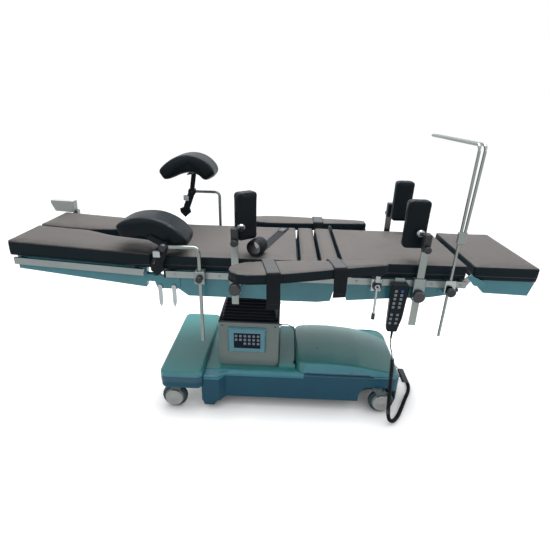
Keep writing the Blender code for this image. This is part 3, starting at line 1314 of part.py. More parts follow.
def make_strap(name, along, outer_drop, inner_drop, board, frame):
    """A webbing strap laid over an armboard, hanging down on both sides."""
    half = max(board_half_at(along + way * STRAP_WIDE / 2) for way in (-1, 1)) + 1.5 * GAP
    sign = 1 if board["side"] < 0 else -1
    crown = 1.5 * GAP
    rim = [(0.0, -BOARD_THICK), (0.0, -1.5 * PAD_EDGE), (PAD_EDGE / 4, -PAD_EDGE * 0.8), (PAD_EDGE, -PAD_CROWN / 2),
           (4 * PAD_EDGE, crown)]
    path = [(half + STRAP_THICK, -outer_drop)] + [(half - w, z) for w, z in rim]
    path += [(w - half, z) for w, z in reversed(rim)] + [(-half - STRAP_THICK / 2, -inner_drop)]
    outline = thickened([(sign * w, z) for w, z in path], sign * STRAP_THICK)
    strap = prism(name, outline, "X", along - STRAP_WIDE / 2, along + STRAP_WIDE / 2)
    return mount(turned(strap, board["place"], board["turn"]), frame, black(name))


def make_cuff(frame):
    """Wrist cuff standing on the seat cushion with its webbing across the table."""
    name = "wrist_cuff"
    axis = Vector((math.cos(CUFF_TURN), math.sin(CUFF_TURN), 0.0))
    base = CUFF_PLACE.z + 2 * GAP
    centre = Vector((CUFF_PLACE.x, CUFF_PLACE.y, base + CUFF_RADIUS))
    inner = CUFF_RADIUS - CUFF_THICK
    half = CUFF_LONG / 2
    profile = [(inner, -half), (CUFF_RADIUS * 0.97, -half), (CUFF_RADIUS, -half * 0.8), (CUFF_RADIUS, half * 0.8),
               (CUFF_RADIUS * 0.97, half), (inner, half)]
    cuff = lathe(name, profile, centre, axis, 18)
    way = (WEB_END - CUFF_PLACE)
    way.z = 0.0
    across = Vector((-way.y, way.x, 0.0)).normalized() * WEB_WIDE / 2
    start, end = CUFF_PLACE, WEB_END
    plan = [start - across, end - across, end + across, start + across]
    web = prism(name, [(p.x, p.y) for p in plan], "Z", base, base + WEB_THICK)
    buckle_at = end - way.normalized() * BUCKLE.y
    buckle = prism(name, [(p.x, p.y) for p in (
        buckle_at - across * 1.4 - way.normalized() * BUCKLE.y / 2, buckle_at - across * 1.4 + way.normalized() * BUCKLE.y / 2,
        buckle_at + across * 1.4 + way.normalized() * BUCKLE.y / 2, buckle_at + across * 1.4 - way.normalized() * BUCKLE.y / 2)],
        "Z", base, base + BUCKLE.z, SMALL_EDGE)
    return mount(fuse(name, [cuff, web, buckle]), frame, black(name))


def support_base(data):
    """Height of a support cushion's lower edge."""
    return PAD_TOP + data["rise"]


def support_top(data):
    """Height of a support bar's top, half a grip under the middle of its ball."""
    return support_base(data) + data["ball"] - GRIP / 2


def make_support(key, frame):
    """Body support: flat bar, grip block with knobs, ball and cushion."""
    data = SUPPORTS[key]
    x, side = data["x"], data["side"]
    name = "support_post_" + key
    low, high = sorted((side * (BAR_Y - BAR_THICK / 2), side * (BAR_Y + BAR_THICK / 2)))
    top = support_top(data)
    bar = block(name, (x - BAR_WIDE / 2, low, data["low"]), (x + BAR_WIDE / 2, high, top))
    middle = side * BAR_Y
    grip_low = (x - GRIP, middle - GRIP, top - 4 * GRIP)
    grip_high = (x + GRIP, middle + GRIP, top + GRIP)
    grip = block(name, grip_low, grip_high, EDGE)
    knob = star_knob(name, (x, side * (BAR_Y + GRIP - GAP), top - 3 * GRIP), (0.0, side, 0.0), GRIP)
    pad_x, pad_y = data["pad"]
    inner_y = side * (pad_y + SUPPORT_THICK / 2 / math.cos(data["turn"]))
    ball_z = top + GRIP / 2
    reach = Vector((pad_x - (pad_x - x) * 0.35, inner_y + side * (BALL * 0.9 + GAP * 8), ball_z))
    joint_ball = ball(name, reach, BALL)
    stem = cylinder(name, (x, side * BAR_Y, ball_z), reach, BALL * 0.5, 10)
    post = fuse(name, [bar, grip, knob, joint_ball, stem])
    name = "support_pad_" + key
    outline = rounded(rectangle(-SUPPORT_WIDE / 2, SUPPORT_WIDE / 2, 0.0, SUPPORT_TALL), SUPPORT_ROUND, 2)
    half = SUPPORT_THICK / 2
    levels = [(-half, SUPPORT_EDGE), (-half + SUPPORT_EDGE, 0.0), (half - SUPPORT_EDGE, 0.0),
              (half - SUPPORT_EDGE / 3, SUPPORT_EDGE / 2), (half, SUPPORT_EDGE * 1.6)]
    rings = [[(a, -side * w, support_base(data) + b) for a, b in inset(outline, d)] for w, d in levels]
    pad = loft(name, rings)
    turned(pad, Vector((pad_x, side * pad_y, 0.0)), -side * data["turn"])
    cutter = pad.copy()
    cutter.data = pad.data.copy()
    bpy.context.collection.objects.link(cutter)
    cutter.data.transform(Matrix.Translation((0.0, side * GAP, 0.0)))
    post = fuse("support_post_" + key, [post], [cutter])
    mount(post, frame, steel("support_post_" + key))
    return mount(pad, frame, black(name))


def make_screen(frames):
    """Hairpin screen frame and the clamp that it slides in."""
    name = "screen_frame"
    x, y = SCREEN_X, SCREEN_Y
    foot = (x, y, SCREEN_LOW)
    corner = (x, y, SCREEN_TOP)
    tip = (x, SCREEN_REACH, SCREEN_TOP)
    turn = SCREEN_APART / 2
    loop = [
        (x + turn * (1 - math.cos(a)), SCREEN_REACH + turn * math.sin(a), SCREEN_TOP)
        for a in (math.radians(d) for d in (0, 30, 60, 90, 120, 150, 180))
    ]
    second_corner = (x + SCREEN_APART, y, SCREEN_TOP)
    second_foot = (x + SCREEN_APART * 0.7, y, SCREEN_FOOT)
    points = [foot] + arc_bend(corner, foot, tip, SCREEN_BEND) + loop
    points += arc_bend(second_corner, (x + SCREEN_APART, SCREEN_REACH, SCREEN_TOP), second_foot, SCREEN_BEND) + [second_foot]
    rod = tube(name, points, SCREEN_ROD, 2)
    sleeve = block(name, (x - SCREEN_ROD * 1.5, y - SCREEN_ROD * 1.5, SCREEN_FOOT - 0.035),
                   (x + SCREEN_APART * 0.7 + SCREEN_ROD * 1.5, y + SCREEN_ROD * 1.5, SCREEN_FOOT + 0.015), 0.003)
    mount(fuse(name, [rod, sleeve]), frames["screen"], steel(name))
    name = "screen_clamp"
    front = -(RAIL_OUT + CLAMP_DEEP)
    knob = star_knob(name, (x, front + GAP, RAIL_LOW - CLAMP_DROP + BOSS), (0.0, -1.0, 0.0), BOSS * 1.3)
    wing = block(name, (x + CLAMP_HALF - GAP, -(RAIL_OUT + CLAMP_DEEP / 2), RAIL_LOW - CLAMP_DROP + 0.004),
                 (x + 2 * CLAMP_HALF, -(RAIL_OUT + 0.004), RAIL_LOW + 0.004), 0.002)
    clamp = rail_clamp(name, x, -1, -y, SCREEN_ROD, [knob, wing])
    return mount(clamp, frames["back"], steel(name))


def make_board_clamp(frames):
    """Clamp that carries the near armboard's post, with its hanging lever."""
    name = "armboard_clamp"
    board = BOARDS["near"]["place"]
    top = board.z - BOARD_THICK - BOARD_PLATE - 3 * GAP
    post = cylinder(name, (board.x, board.y, RAIL_TOP), (board.x, board.y, top), BOARD_POST)
    hub = cylinder(name, (board.x, -(RAIL_OUT + CLAMP_DEEP - GAP), RAIL_LOW + BOSS), (board.x, -(HUB_OUT + GAP * 10), RAIL_LOW + BOSS), HUB, 18)
    pin = cylinder(name, (board.x, -HUB_OUT, RAIL_LOW + BOSS), (board.x, -(HUB_OUT + 0.018), RAIL_LOW + BOSS), PIN, 12)
    clamp = rail_clamp(name, board.x, -1, 0.0, 0.0, [post, hub, pin])
    mount(clamp, frames["back"], steel(name))
    name = "clamp_lever"
    z = RAIL_LOW + BOSS
    y0 = -(HUB_OUT + GAP * 11)
    head = cylinder(name, (board.x, y0, z), (board.x, y0 - 0.012, z), 0.011, 14)
    y = y0 - 0.006
    rod = cylinder(name, (board.x, y, z - 0.005), (board.x, y, z - LEVER_LONG), LEVER_ROD, 10)
    tip = cylinder(name, (board.x, y, z - LEVER_LONG), (board.x, y, z - LEVER_LONG - LEVER_TIP_LONG), LEVER_TIP, 12)
    hole = cylinder("cut", (board.x, y0 + OVERRUN, z), (board.x, y0 - 2 * OVERRUN, z), PIN + GAP, 12)
    return mount(fuse(name, [head, rod, tip], [hole]), frames["lever"], steel(name))


def make_handset(frame):
    """Handset hung on the rail, with its key rows and cord relief."""
    name = "handset"
    tall = HANDSET_TOP - HANDSET_LOW
    outline = [(HANDSET_X + a * HANDSET_WIDE, HANDSET_LOW + b * tall) for a, b in HANDSET_OUTLINE_SHARES]
    back, front = -HANDSET_BACK, -HANDSET_BACK - HANDSET_THICK
    body = prism(name, outline, "Y", front, back, 0.004)
    hook_front = block(name, (HANDSET_X - 0.02, back - 0.006, HANDSET_TOP - 0.006), (HANDSET_X + 0.02, back, RAIL_TOP + HOOK_TALL))
    hook_top = block(name, (HANDSET_X - 0.02, back - 0.006, RAIL_TOP + 2 * GAP), (HANDSET_X + 0.02, -RAIL_IN + 0.004, RAIL_TOP + HOOK_TALL / 2))
    pieces = [body, hook_front, hook_top]
    for share in BUTTON_ROWS_SHARE:
        z = HANDSET_LOW + share * tall
        for way in (-1, 1):
            x = HANDSET_X + way * BUTTON_APART / 2 - (1 - share) * 0.010
            pieces.append(block(name, (x - BUTTON / 2, front - 0.0015, z - BUTTON / 2), (x + BUTTON / 2, front + 0.001, z + BUTTON / 2)))
    relief_y = (front + back) / 2
    x = CORD_POINTS[0][0]
    profile = [(0.0, 0.0), (RELIEF * 0.7, 0.0), (RELIEF * 0.8, RELIEF_LONG * 0.5), (RELIEF, RELIEF_LONG), (RELIEF, RELIEF_LONG + 0.004),
               (0.0, RELIEF_LONG + 0.004)]
    pieces.append(lathe(name, profile, Vector((x, relief_y, HANDSET_LOW - RELIEF_LONG)), (0.0, 0.0, 1.0), 12))
    return mount(fuse(name, pieces), frame, black(name))


def smooth_route(points, per=10):
    """Closely spaced points on a smooth curve through the route."""
    route = [Vector(p) for p in points]
    padded = [2 * route[0] - route[1]] + route + [2 * route[-1] - route[-2]]
    result = []
    for i in range(1, len(padded) - 2):
        a, b, c, d = padded[i - 1 : i + 3]
        for k in range(per):
            t = k / per
            result.append(0.5 * (2 * b + (c - a) * t + (2 * a - 5 * b + 4 * c - d) * t**2 + (3 * b - a - 3 * c + d) * t**3))
    result.append(route[-1])
    return result


def at_length(route, distance):
    """Place and direction at a distance along the route."""
    walked = 0.0
    for a, b in zip(route, route[1:]):
        step = (b - a).length
        if walked + step >= distance:
            return a + (b - a) * ((distance - walked) / step), (b - a).normalized()
        walked += step
    return route[-1], (route[-1] - route[-2]).normalized()


def curly_points():
    """Cord points: plain at both ends, a helix between."""
    route = smooth_route(CORD_POINTS)
    total = sum((b - a).length for a, b in zip(route, route[1:]))
    start = CORD_PLAIN[0]
    end = total - CORD_PLAIN[1]
    points = [at_length(route, start * k / 4)[0] for k in range(4)]
    steps = CURLS * CURL_POINTS
    side = Vector((1.0, 0.0, 0.0))
    for k in range(steps + 1):
        place, along = at_length(route, start + (end - start) * k / steps)
        side = (side - along * side.dot(along)).normalized()
        other = along.cross(side)
        angle = 2 * math.pi * k / CURL_POINTS
        swell = CURL * min(1.0, k / CURL_POINTS, (steps - k) / CURL_POINTS)
        points.append(place + (side * math.cos(angle) + other * math.sin(angle)) * swell)
    points += [at_length(route, end + (total - end) * k / 4)[0] for k in (1, 2, 3)]
    points.append(route[-1])
    return points


def least_gap(points):
    """Smallest clear distance between turns of the cord."""
    least = None
    apart = CURL_POINTS * 3 // 4
    for i in range(len(points)):
        for j in range(i + apart, min(i + 3 * CURL_POINTS, len(points))):
            clear = (points[i] - points[j]).length - 2 * CORD
            least = clear if least is None else min(least, clear)
    return least


def make_cord(base):
    """Curly cord from the handset down to the floor and back to the base's gland."""
    name = "handset_cord"
    points = curly_points()
    print(f"least gap of the cord to itself {least_gap(points) * 1000:.2f} mm")
    cord = tube(name, points, CORD, 1)
    return mount(cord, base, black(name), 60)


def make_frames():
    """Every joint's empty, from the base outwards."""
    frames = {"base": joint_frame("base_frame", (0.0, 0.0, 0.0))}
    frames["column"] = joint_frame("column_lift", (0.0, 0.0, HEAD_PLATE), frames["base"])
    frames["yoke"] = joint_frame("lengthwise_tilt", TILT_AXIS, frames["column"])
    frames["seat"] = joint_frame("side_tilt", TILT_AXIS, frames["yoke"])
    frames["back"] = joint_frame("back_hinge", BACK_AXIS, frames["seat"])
    frames["head"] = joint_frame("head_hinge", HEAD_AXIS, frames["back"])
    frames["kidney"] = joint_frame("kidney_lift", (KIDNEY_START, 0.0, PAD_BASE), frames["seat"])
    frames["pedal"] = joint_frame("pedal_hinge", PEDAL_PLACE, frames["base"])
    for name in ("near", "far"):
        side = -1 if name == "near" else 1
        frames["leg_" + name] = joint_frame("leg_hinge_" + name, LEG_AXIS, frames["seat"], LEG_REST)
        place = (RELEASE_X[name], RELEASE_Y, RELEASE_Z)
        frames["release_" + name] = joint_frame("release_hinge_" + name, place, frames["seat"])
        rod = (KNEE_X, side * KNEE_Y, KNEE_HEIGHTS[name])
        frames["rod_" + name] = joint_frame("knee_slide_" + name, rod, frames["seat"])
        pivot = (KNEE_PIVOT_X, side * KNEE_Y, KNEE_HEIGHTS[name])
        frames["knee_" + name] = joint_frame("knee_tilt_" + name, pivot, frames["rod_" + name])
        frames["board_" + name] = joint_frame("armboard_swing_" + name, BOARDS[name]["place"], frames["back"])
    for key, data in SUPPORTS.items():
        place = (data["x"], data["side"] * BAR_Y, support_top(data))
        frames["support_" + key] = joint_frame("support_slide_" + key, place, frames["seat" if key == "left" else "back"])
    frames["screen"] = joint_frame("screen_slide", (SCREEN_X, SCREEN_Y, SCREEN_LOW), frames["back"])
    z = RAIL_LOW + BOSS
    frames["lever"] = joint_frame("clamp_lever_hinge", (BOARDS["near"]["place"].x, -HUB_OUT, z), frames["back"])
    return frames


def main():
    clear_scene()
    frames = make_frames()
    base = frames["base"]
    make_base_cover(base)
    make_base_skirt(base)
    make_rear_dome(base)
    make_brake_pedal(frames["pedal"])
    for end, (x, y), top in (("foot", CASTOR_FOOT, FOOT_LOW - GAP), ("rear", CASTOR_REAR, POCKET_TOP - 3 * GAP)):
        for side_name, side in (("near", -1), ("far", 1)):
            make_castor(f"castor_{end}_{side_name}", x, side * y, top, base)
    make_column_housing(base)
    make_panel(base)
    make_bellows(base)
    make_column_inner(frames["column"])
    make_yoke(frames["yoke"])
    make_seat_frame(frames["seat"])
    make_back_frame(frames["back"])
    make_head_frame(frames["head"])
    make_pads(frames)
    make_release_levers(frames)
    for name in ("near", "far"):
        make_leg(name, frames["leg_" + name])
        make_knee_clamp(name, frames["seat"])
        make_knee_rod(name, frames["rod_" + name])
        make_knee_bracket(name, frames["knee_" + name])
        make_knee_pad(name, frames["knee_" + name])
        make_armboard(name, frames["board_" + name])
    make_cuff(frames["seat"])
    for key in SUPPORTS:
        make_support(key, frames["support_" + key])
    make_screen(frames)
    make_board_clamp(frames)
    make_handset(frames["back"])
    make_cord(base)


main()
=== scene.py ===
"""Looks of an electric operating table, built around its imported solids."""

import logging
import math
from contextlib import contextmanager
from dataclasses import dataclass, field
from enum import Enum
from typing import Callable, Iterator, Sequence

import bmesh
import bpy
import numpy as np
from mathutils import Matrix, Vector


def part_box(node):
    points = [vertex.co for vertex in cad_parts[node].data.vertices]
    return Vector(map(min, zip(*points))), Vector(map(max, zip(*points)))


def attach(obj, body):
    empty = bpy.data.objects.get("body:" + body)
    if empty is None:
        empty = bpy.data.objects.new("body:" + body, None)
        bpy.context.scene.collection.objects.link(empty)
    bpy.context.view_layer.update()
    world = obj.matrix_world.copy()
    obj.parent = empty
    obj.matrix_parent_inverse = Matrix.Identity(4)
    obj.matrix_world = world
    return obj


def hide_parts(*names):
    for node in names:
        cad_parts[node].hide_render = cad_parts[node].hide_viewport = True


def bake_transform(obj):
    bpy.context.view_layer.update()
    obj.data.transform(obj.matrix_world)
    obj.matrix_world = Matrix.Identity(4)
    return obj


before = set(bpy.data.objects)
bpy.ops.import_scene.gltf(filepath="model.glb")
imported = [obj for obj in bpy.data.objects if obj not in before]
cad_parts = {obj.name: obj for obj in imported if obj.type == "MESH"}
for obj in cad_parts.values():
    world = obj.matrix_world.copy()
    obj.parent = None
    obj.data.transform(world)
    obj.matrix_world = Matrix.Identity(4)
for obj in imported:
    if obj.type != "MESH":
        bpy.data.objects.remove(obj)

LOG = logging.getLogger("operating_table")
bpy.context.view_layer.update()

Vec = tuple[float, float, float]
Span = tuple[float, float]
Socket = bpy.types.NodeSocket

GAP = 0.0003
PAD_TOP = 0.820
TOP_EDGE = 0.0075
DECK_TOP = 0.7517
RAIL_IN, RAIL_OUT = 0.252, 0.262
RAIL_LOW, RAIL_TOP = 0.7197, 0.7497
LEG_TILT = math.radians(3.5)
LEG_AXIS = Vector((-0.395, 0.0, 0.700))
STEEL_SIDE = 0.2405
WHEEL_HIGH = 0.0625
FAR = 9.0
EVER: Span = (-FAR, FAR)
EVEN: Vec = (1.0, 1.0, 1.0)
ORIGIN: Vec = (0.0, 0.0, 0.0)
ALONG, ACROSS, UP = Vector((1.0, 0.0, 0.0)), Vector((0.0, 1.0, 0.0)), Vector((0.0, 0.0, 1.0))
NEARWARD = Vector((0.0, -1.0, 0.0))
CASTORS = (
    ("foot_near", -0.366, -0.235), ("foot_far", -0.366, 0.235),
    ("rear_near", 0.671, -0.215), ("rear_far", 0.671, 0.215),
)


# ---------------------------------------------------------------- materials


class Pattern(Enum):
    """Kinds of surface that a finish can have."""

    LEATHER = "leather"
    BRUSHED = "brushed"
    MOULDED = "moulded"
    WOVEN = "woven"


class Group(Enum):
    """Names of the shared shader groups."""

    GRAIN = "surface_grain"
    HIDE = "leather_grain"
    WEAVE = "webbing_weave"
    DUST = "dust_and_wear"
    BOX = "box_mask"
    ROUND = "round_mask"


@dataclass
class Graph:
    """A node tree with short ways to add and join its nodes."""

    tree: bpy.types.NodeTree

    def add(self, kind: str, **settings: object) -> bpy.types.Node:
        """Adds a node and sets its properties.

        Args:
            kind: The node's type name.
            settings: Properties of the node.

        Returns:
            The new node.
        """
        node = self.tree.nodes.new(kind)
        for key, value in settings.items():
            setattr(node, key, value)
        return node

    def feed(self, socket: Socket, value: object) -> None:
        """Links a socket or sets its plain value."""
        if isinstance(value, bpy.types.NodeSocket):
            self.tree.links.new(value, socket)
        else:
            socket.default_value = value

    def math(self, operation: str, *values: object) -> Socket:
        """A Math node's result."""
        node = self.add("ShaderNodeMath", operation=operation)
        for socket, value in zip(node.inputs, values):
            self.feed(socket, value)
        return node.outputs[0]

    def vector(self, operation: str, *values: object) -> Socket:
        """A Vector Math node's result, a length where it gives one."""
        node = self.add("ShaderNodeVectorMath", operation=operation)
        for socket, value in zip(node.inputs, values):
            self.feed(socket, value)
        return node.outputs["Value" if operation in ("LENGTH", "DOT_PRODUCT") else "Vector"]

    def remap(self, value: Socket, span: tuple, to: tuple = (0.0, 1.0)) -> Socket:
        """Maps a value from one span to another, held at its ends."""
        node = self.add("ShaderNodeMapRange", clamp=True)
        for socket, number in zip(node.inputs, (value, *span, *to)):
            self.feed(socket, number)
        return node.outputs[0]

    def mix(self, factor: object, first: object, second: object, colour: bool = True) -> Socket:
        """Mixes two colours, or two values.

        Args:
            factor: How much of the second.
            first: The first colour or value.
            second: The second one.
            colour: Whether they are colours.

        Returns:
            The mixed socket.
        """
        node = self.add("ShaderNodeMix", data_type="RGBA" if colour else "FLOAT")
        kind = "Color" if colour else "Float"
        wanted = {"Factor_Float": factor, "A_" + kind: first, "B_" + kind: second}
        for socket in node.inputs:
            if socket.identifier in wanted:
                value = wanted[socket.identifier]
                if colour and isinstance(value, tuple):
                    value = (*value[:3], 1.0)
                self.feed(socket, value)
        return next(s for s in node.outputs if s.identifier == "Result_" + kind)

    def fill(self, node: bpy.types.Node, values: dict[str, object]) -> bpy.types.Node:
        """Feeds a node's inputs by their names."""
        for key, value in values.items():
            self.feed(node.inputs[key], value)
        return node

    def noise(self, vector: Socket, scale: object, detail: float = 3.0, rough: float = 0.5) -> Socket:
        """A noise value around one half."""
        values = {"Vector": vector, "Scale": scale, "Detail": detail, "Roughness": rough}
        return self.fill(self.add("ShaderNodeTexNoise"), values).outputs["Fac"]

    def scatter(self, vector: Socket, scale: float, reach: float) -> Socket:
        """A small offset that changes from place to place."""
        node = self.fill(self.add("ShaderNodeTexNoise"), {"Vector": vector, "Scale": scale, "Detail": 1.0})
        return self.vector("MULTIPLY", node.outputs["Color"], (reach, reach, reach))

    def group(self, which: Group, **values: object) -> bpy.types.Node:
        """Places a shared group with its own values."""
        return self.fill(self.add("ShaderNodeGroup", node_tree=shared_group(which)), values)


def new_group(name: str, inputs: dict[str, str], outputs: dict[str, str]) -> tuple[Graph, dict, dict]:
    """Starts a shader group.

    Args:
        name: The group's name.
        inputs: Names and kinds of its inputs.
        outputs: Names and kinds of its outputs.

    Returns:
        The graph, its inputs' sockets and its outputs' sockets by name.
    """
    tree = bpy.data.node_groups.new(name, "ShaderNodeTree")
    for names, way in ((inputs, "INPUT"), (outputs, "OUTPUT")):
        for key, kind in names.items():
            tree.interface.new_socket(name=key, in_out=way, socket_type="NodeSocket" + kind)
    graph = Graph(tree)
    start = graph.add("NodeGroupInput")
    end = graph.add("NodeGroupOutput")
    return graph, {s.name: s for s in start.outputs if s.name}, {s.name: s for s in end.inputs if s.name}


def build_grain(name: str) -> None:
    """Fine and broad noise, stretched along a piece."""
    graph, given, out = new_group(
        name, {"Vector": "Vector", "Scale": "Float", "Stretch": "Vector"}, {"Fine": "Float", "Broad": "Float"}
    )
    along = graph.vector("MULTIPLY", given["Vector"], given["Stretch"])
    graph.feed(out["Fine"], graph.noise(along, given["Scale"], 4.0, 0.6))
    graph.feed(out["Broad"], graph.noise(given["Vector"], graph.math("DIVIDE", given["Scale"], 40.0), 3.0))


def build_hide(name: str) -> None:
    """Pebbled leather: small cells with creases between them, and broad soft folds."""
    graph, given, out = new_group(
        name, {"Vector": "Vector", "Scale": "Float"}, {"Height": "Float", "Crease": "Float"}
    )
    moved = graph.vector("ADD", given["Vector"], graph.scatter(given["Vector"], 160.0, 0.0008))
    cells = graph.add("ShaderNodeTexVoronoi", feature="DISTANCE_TO_EDGE")
    graph.fill(cells, {"Vector": moved, "Scale": given["Scale"]})
    crease = graph.remap(cells.outputs["Distance"], (0.0, 0.18))
    graph.feed(out["Crease"], crease)
    graph.feed(out["Height"], graph.math("MULTIPLY", crease, graph.noise(given["Vector"], 90.0, 2.0)))


def build_weave(name: str) -> None:
    """Crossed ribs of a woven band, from the band's own map."""
    graph, given, out = new_group(name, {"Vector": "Vector", "Scale": "Float"}, {"Height": "Float"})
    ribs = []
    for way in ((1.0, 1.0, 0.0), (1.0, -1.0, 0.0)):
        place = graph.vector("DOT_PRODUCT", given["Vector"], way)
        wave = graph.math("SINE", graph.math("MULTIPLY", place, given["Scale"]))
        ribs.append(graph.math("ABSOLUTE", wave))
    graph.feed(out["Height"], graph.math("MAXIMUM", *ribs))


def build_dust(name: str) -> None:
    """A little dust in broad patches and rubbed spots, over a colour."""
    graph, given, out = new_group(
        name,
        {"Vector": "Vector", "Color": "Color", "Dust": "Color", "Amount": "Float"},
        {"Color": "Color", "Mask": "Float"},
    )
    spots = graph.remap(graph.noise(given["Vector"], 7.0, 5.0, 0.65), (0.45, 0.75))
    specks = graph.remap(graph.noise(given["Vector"], 220.0, 2.0), (0.60, 0.80))
    mask = graph.math("MULTIPLY", graph.math("MAXIMUM", spots, specks), given["Amount"])
    graph.feed(out["Mask"], mask)
    graph.feed(out["Color"], graph.mix(mask, given["Color"], given["Dust"]))


def build_box(name: str) -> None:
    """One inside a box of object space, with a thin soft edge."""
    graph, given, out = new_group(
        name, {"Vector": "Vector", "Centre": "Vector", "Half": "Vector"}, {"Mask": "Float"}
    )
    away = graph.vector("ABSOLUTE", graph.vector("SUBTRACT", given["Vector"], given["Centre"]))
    parts = graph.add("ShaderNodeSeparateXYZ")
    graph.feed(parts.inputs[0], graph.vector("SUBTRACT", away, given["Half"]))
    most = graph.math("MAXIMUM", graph.math("MAXIMUM", parts.outputs[0], parts.outputs[1]), parts.outputs[2])
    graph.feed(out["Mask"], graph.remap(most, (0.0002, -0.0002)))


def build_round(name: str) -> None:
    """One inside a cylinder along an axis, or inside a ball where all three axes are kept."""
    graph, given, out = new_group(
        name, {"Vector": "Vector", "Centre": "Vector", "Keep": "Vector", "Radius": "Float"}, {"Mask": "Float"}
    )
    away = graph.vector("MULTIPLY", graph.vector("SUBTRACT", given["Vector"], given["Centre"]), given["Keep"])
    beyond = graph.math("SUBTRACT", graph.vector("LENGTH", away), given["Radius"])
    graph.feed(out["Mask"], graph.remap(beyond, (0.0002, -0.0002)))


BUILDERS: dict[Group, Callable[[str], None]] = {
    Group.GRAIN: build_grain,
    Group.HIDE: build_hide,
    Group.WEAVE: build_weave,
    Group.DUST: build_dust,
    Group.BOX: build_box,
    Group.ROUND: build_round,
}


def shared_group(which: Group) -> bpy.types.NodeTree:
    """The shared group of that name, built on first use."""
    if which.value not in bpy.data.node_groups:
        BUILDERS[which](which.value)
    return bpy.data.node_groups[which.value]


@dataclass(frozen=True)
class Finish:
    """A surface finish: its colours, gloss and grain."""

    colour: Vec
    shade: Vec
    rough: float = 0.4
    spread: float = 0.08
    metal: float = 0.0
    pattern: Pattern = Pattern.MOULDED
    scale: float = 400.0
    stretch: Vec = EVEN
    depth: float = 0.0001
    dust: float = 0.12
    coat: float = 0.0
    sheen: float = 0.0
    gloss: float = 0.5

    def layer(self, graph: Graph, vector: Socket, band: Socket) -> tuple[Socket, Socket, float, Socket]:
        """Nodes that give this finish.

        Args:
            graph: The material's graph.
            vector: Object coordinates.
            band: The piece's own map, for a weave that follows it.

        Returns:
            Colour, roughness, metallic and height.
        """
        grain = graph.group(Group.GRAIN, Vector=vector, Scale=self.scale, Stretch=self.stretch)
        fine, broad = grain.outputs["Fine"], graph.remap(grain.outputs["Broad"], (0.3, 0.7))
        colour = graph.mix(broad, self.colour, self.shade)
        height = graph.math("MULTIPLY", fine, self.depth)
        if self.pattern is Pattern.BRUSHED:
            colour = graph.mix(graph.remap(fine, (0.35, 0.75), (0.0, 0.35)), colour, self.shade)
        if self.pattern is Pattern.LEATHER:
            hide = graph.group(Group.HIDE, Vector=vector, Scale=self.scale)
            dark = tuple(c * 0.6 for c in self.colour)
            colour = graph.mix(graph.remap(hide.outputs["Crease"], (0.0, 1.0), (0.35, 0.0)), colour, dark)
            height = graph.math("MULTIPLY", hide.outputs["Height"], self.depth)
        if self.pattern is Pattern.WOVEN:
            weave = graph.group(Group.WEAVE, Vector=band, Scale=self.scale)
            dark = tuple(c * 0.5 for c in self.colour)
            colour = graph.mix(weave.outputs["Height"], dark, colour)
            height = graph.math("MULTIPLY", weave.outputs["Height"], self.depth)
        pale = tuple(0.6 * c + 0.12 for c in self.colour)
        worn = graph.group(Group.DUST, Vector=vector, Color=colour, Dust=(*pale, 1.0), Amount=self.dust)
        rough = graph.remap(broad, (0.0, 1.0), (self.rough - self.spread, self.rough + self.spread))
        rough = graph.math("ADD", rough, graph.math("MULTIPLY", worn.outputs["Mask"], 0.3))
        return worn.outputs["Color"], rough, self.metal, height


@dataclass(frozen=True)
class Region:
    """A part of a piece, told by its place, that has another finish."""

    finish: Finish
    x: Span = EVER
    y: Span = EVER
    z: Span = EVER
    mirrored: bool = False
    centre: Vec | None = None
    keep: Vec = (1.0, 0.0, 1.0)
    radius: float = 0.01
    tilt: float = 0.0

    def mask(self, graph: Graph, vector: Socket) -> Socket:
        """The region's mask.

        Args:
            graph: The material's graph.
            vector: Object coordinates.

        Returns:
            One inside the region and zero outside it.
        """
        if self.tilt:
            turned = graph.add("ShaderNodeVectorRotate", rotation_type="Y_AXIS")
            values = {"Vector": vector, "Center": tuple(LEG_AXIS), "Angle": -self.tilt}
            vector = graph.fill(turned, values).outputs[0]
        if self.mirrored:
            parts = graph.fill(graph.add("ShaderNodeSeparateXYZ"), {"Vector": vector})
            x, y, z = parts.outputs
            values = {"X": x, "Y": graph.math("ABSOLUTE", y), "Z": z}
            vector = graph.fill(graph.add("ShaderNodeCombineXYZ"), values).outputs[0]
        spans = (self.x, self.y, self.z)
        centre = tuple((a + b) / 2 for a, b in spans)
        half = tuple((b - a) / 2 for a, b in spans)
        mask = graph.group(Group.BOX, Vector=vector, Centre=centre, Half=half).outputs[0]
        if self.centre is not None:
            round_part = {"Centre": self.centre, "Keep": self.keep, "Radius": self.radius}
            ring = graph.group(Group.ROUND, Vector=vector, **round_part)
            mask = graph.math("MULTIPLY", mask, ring.outputs[0])
        return mask


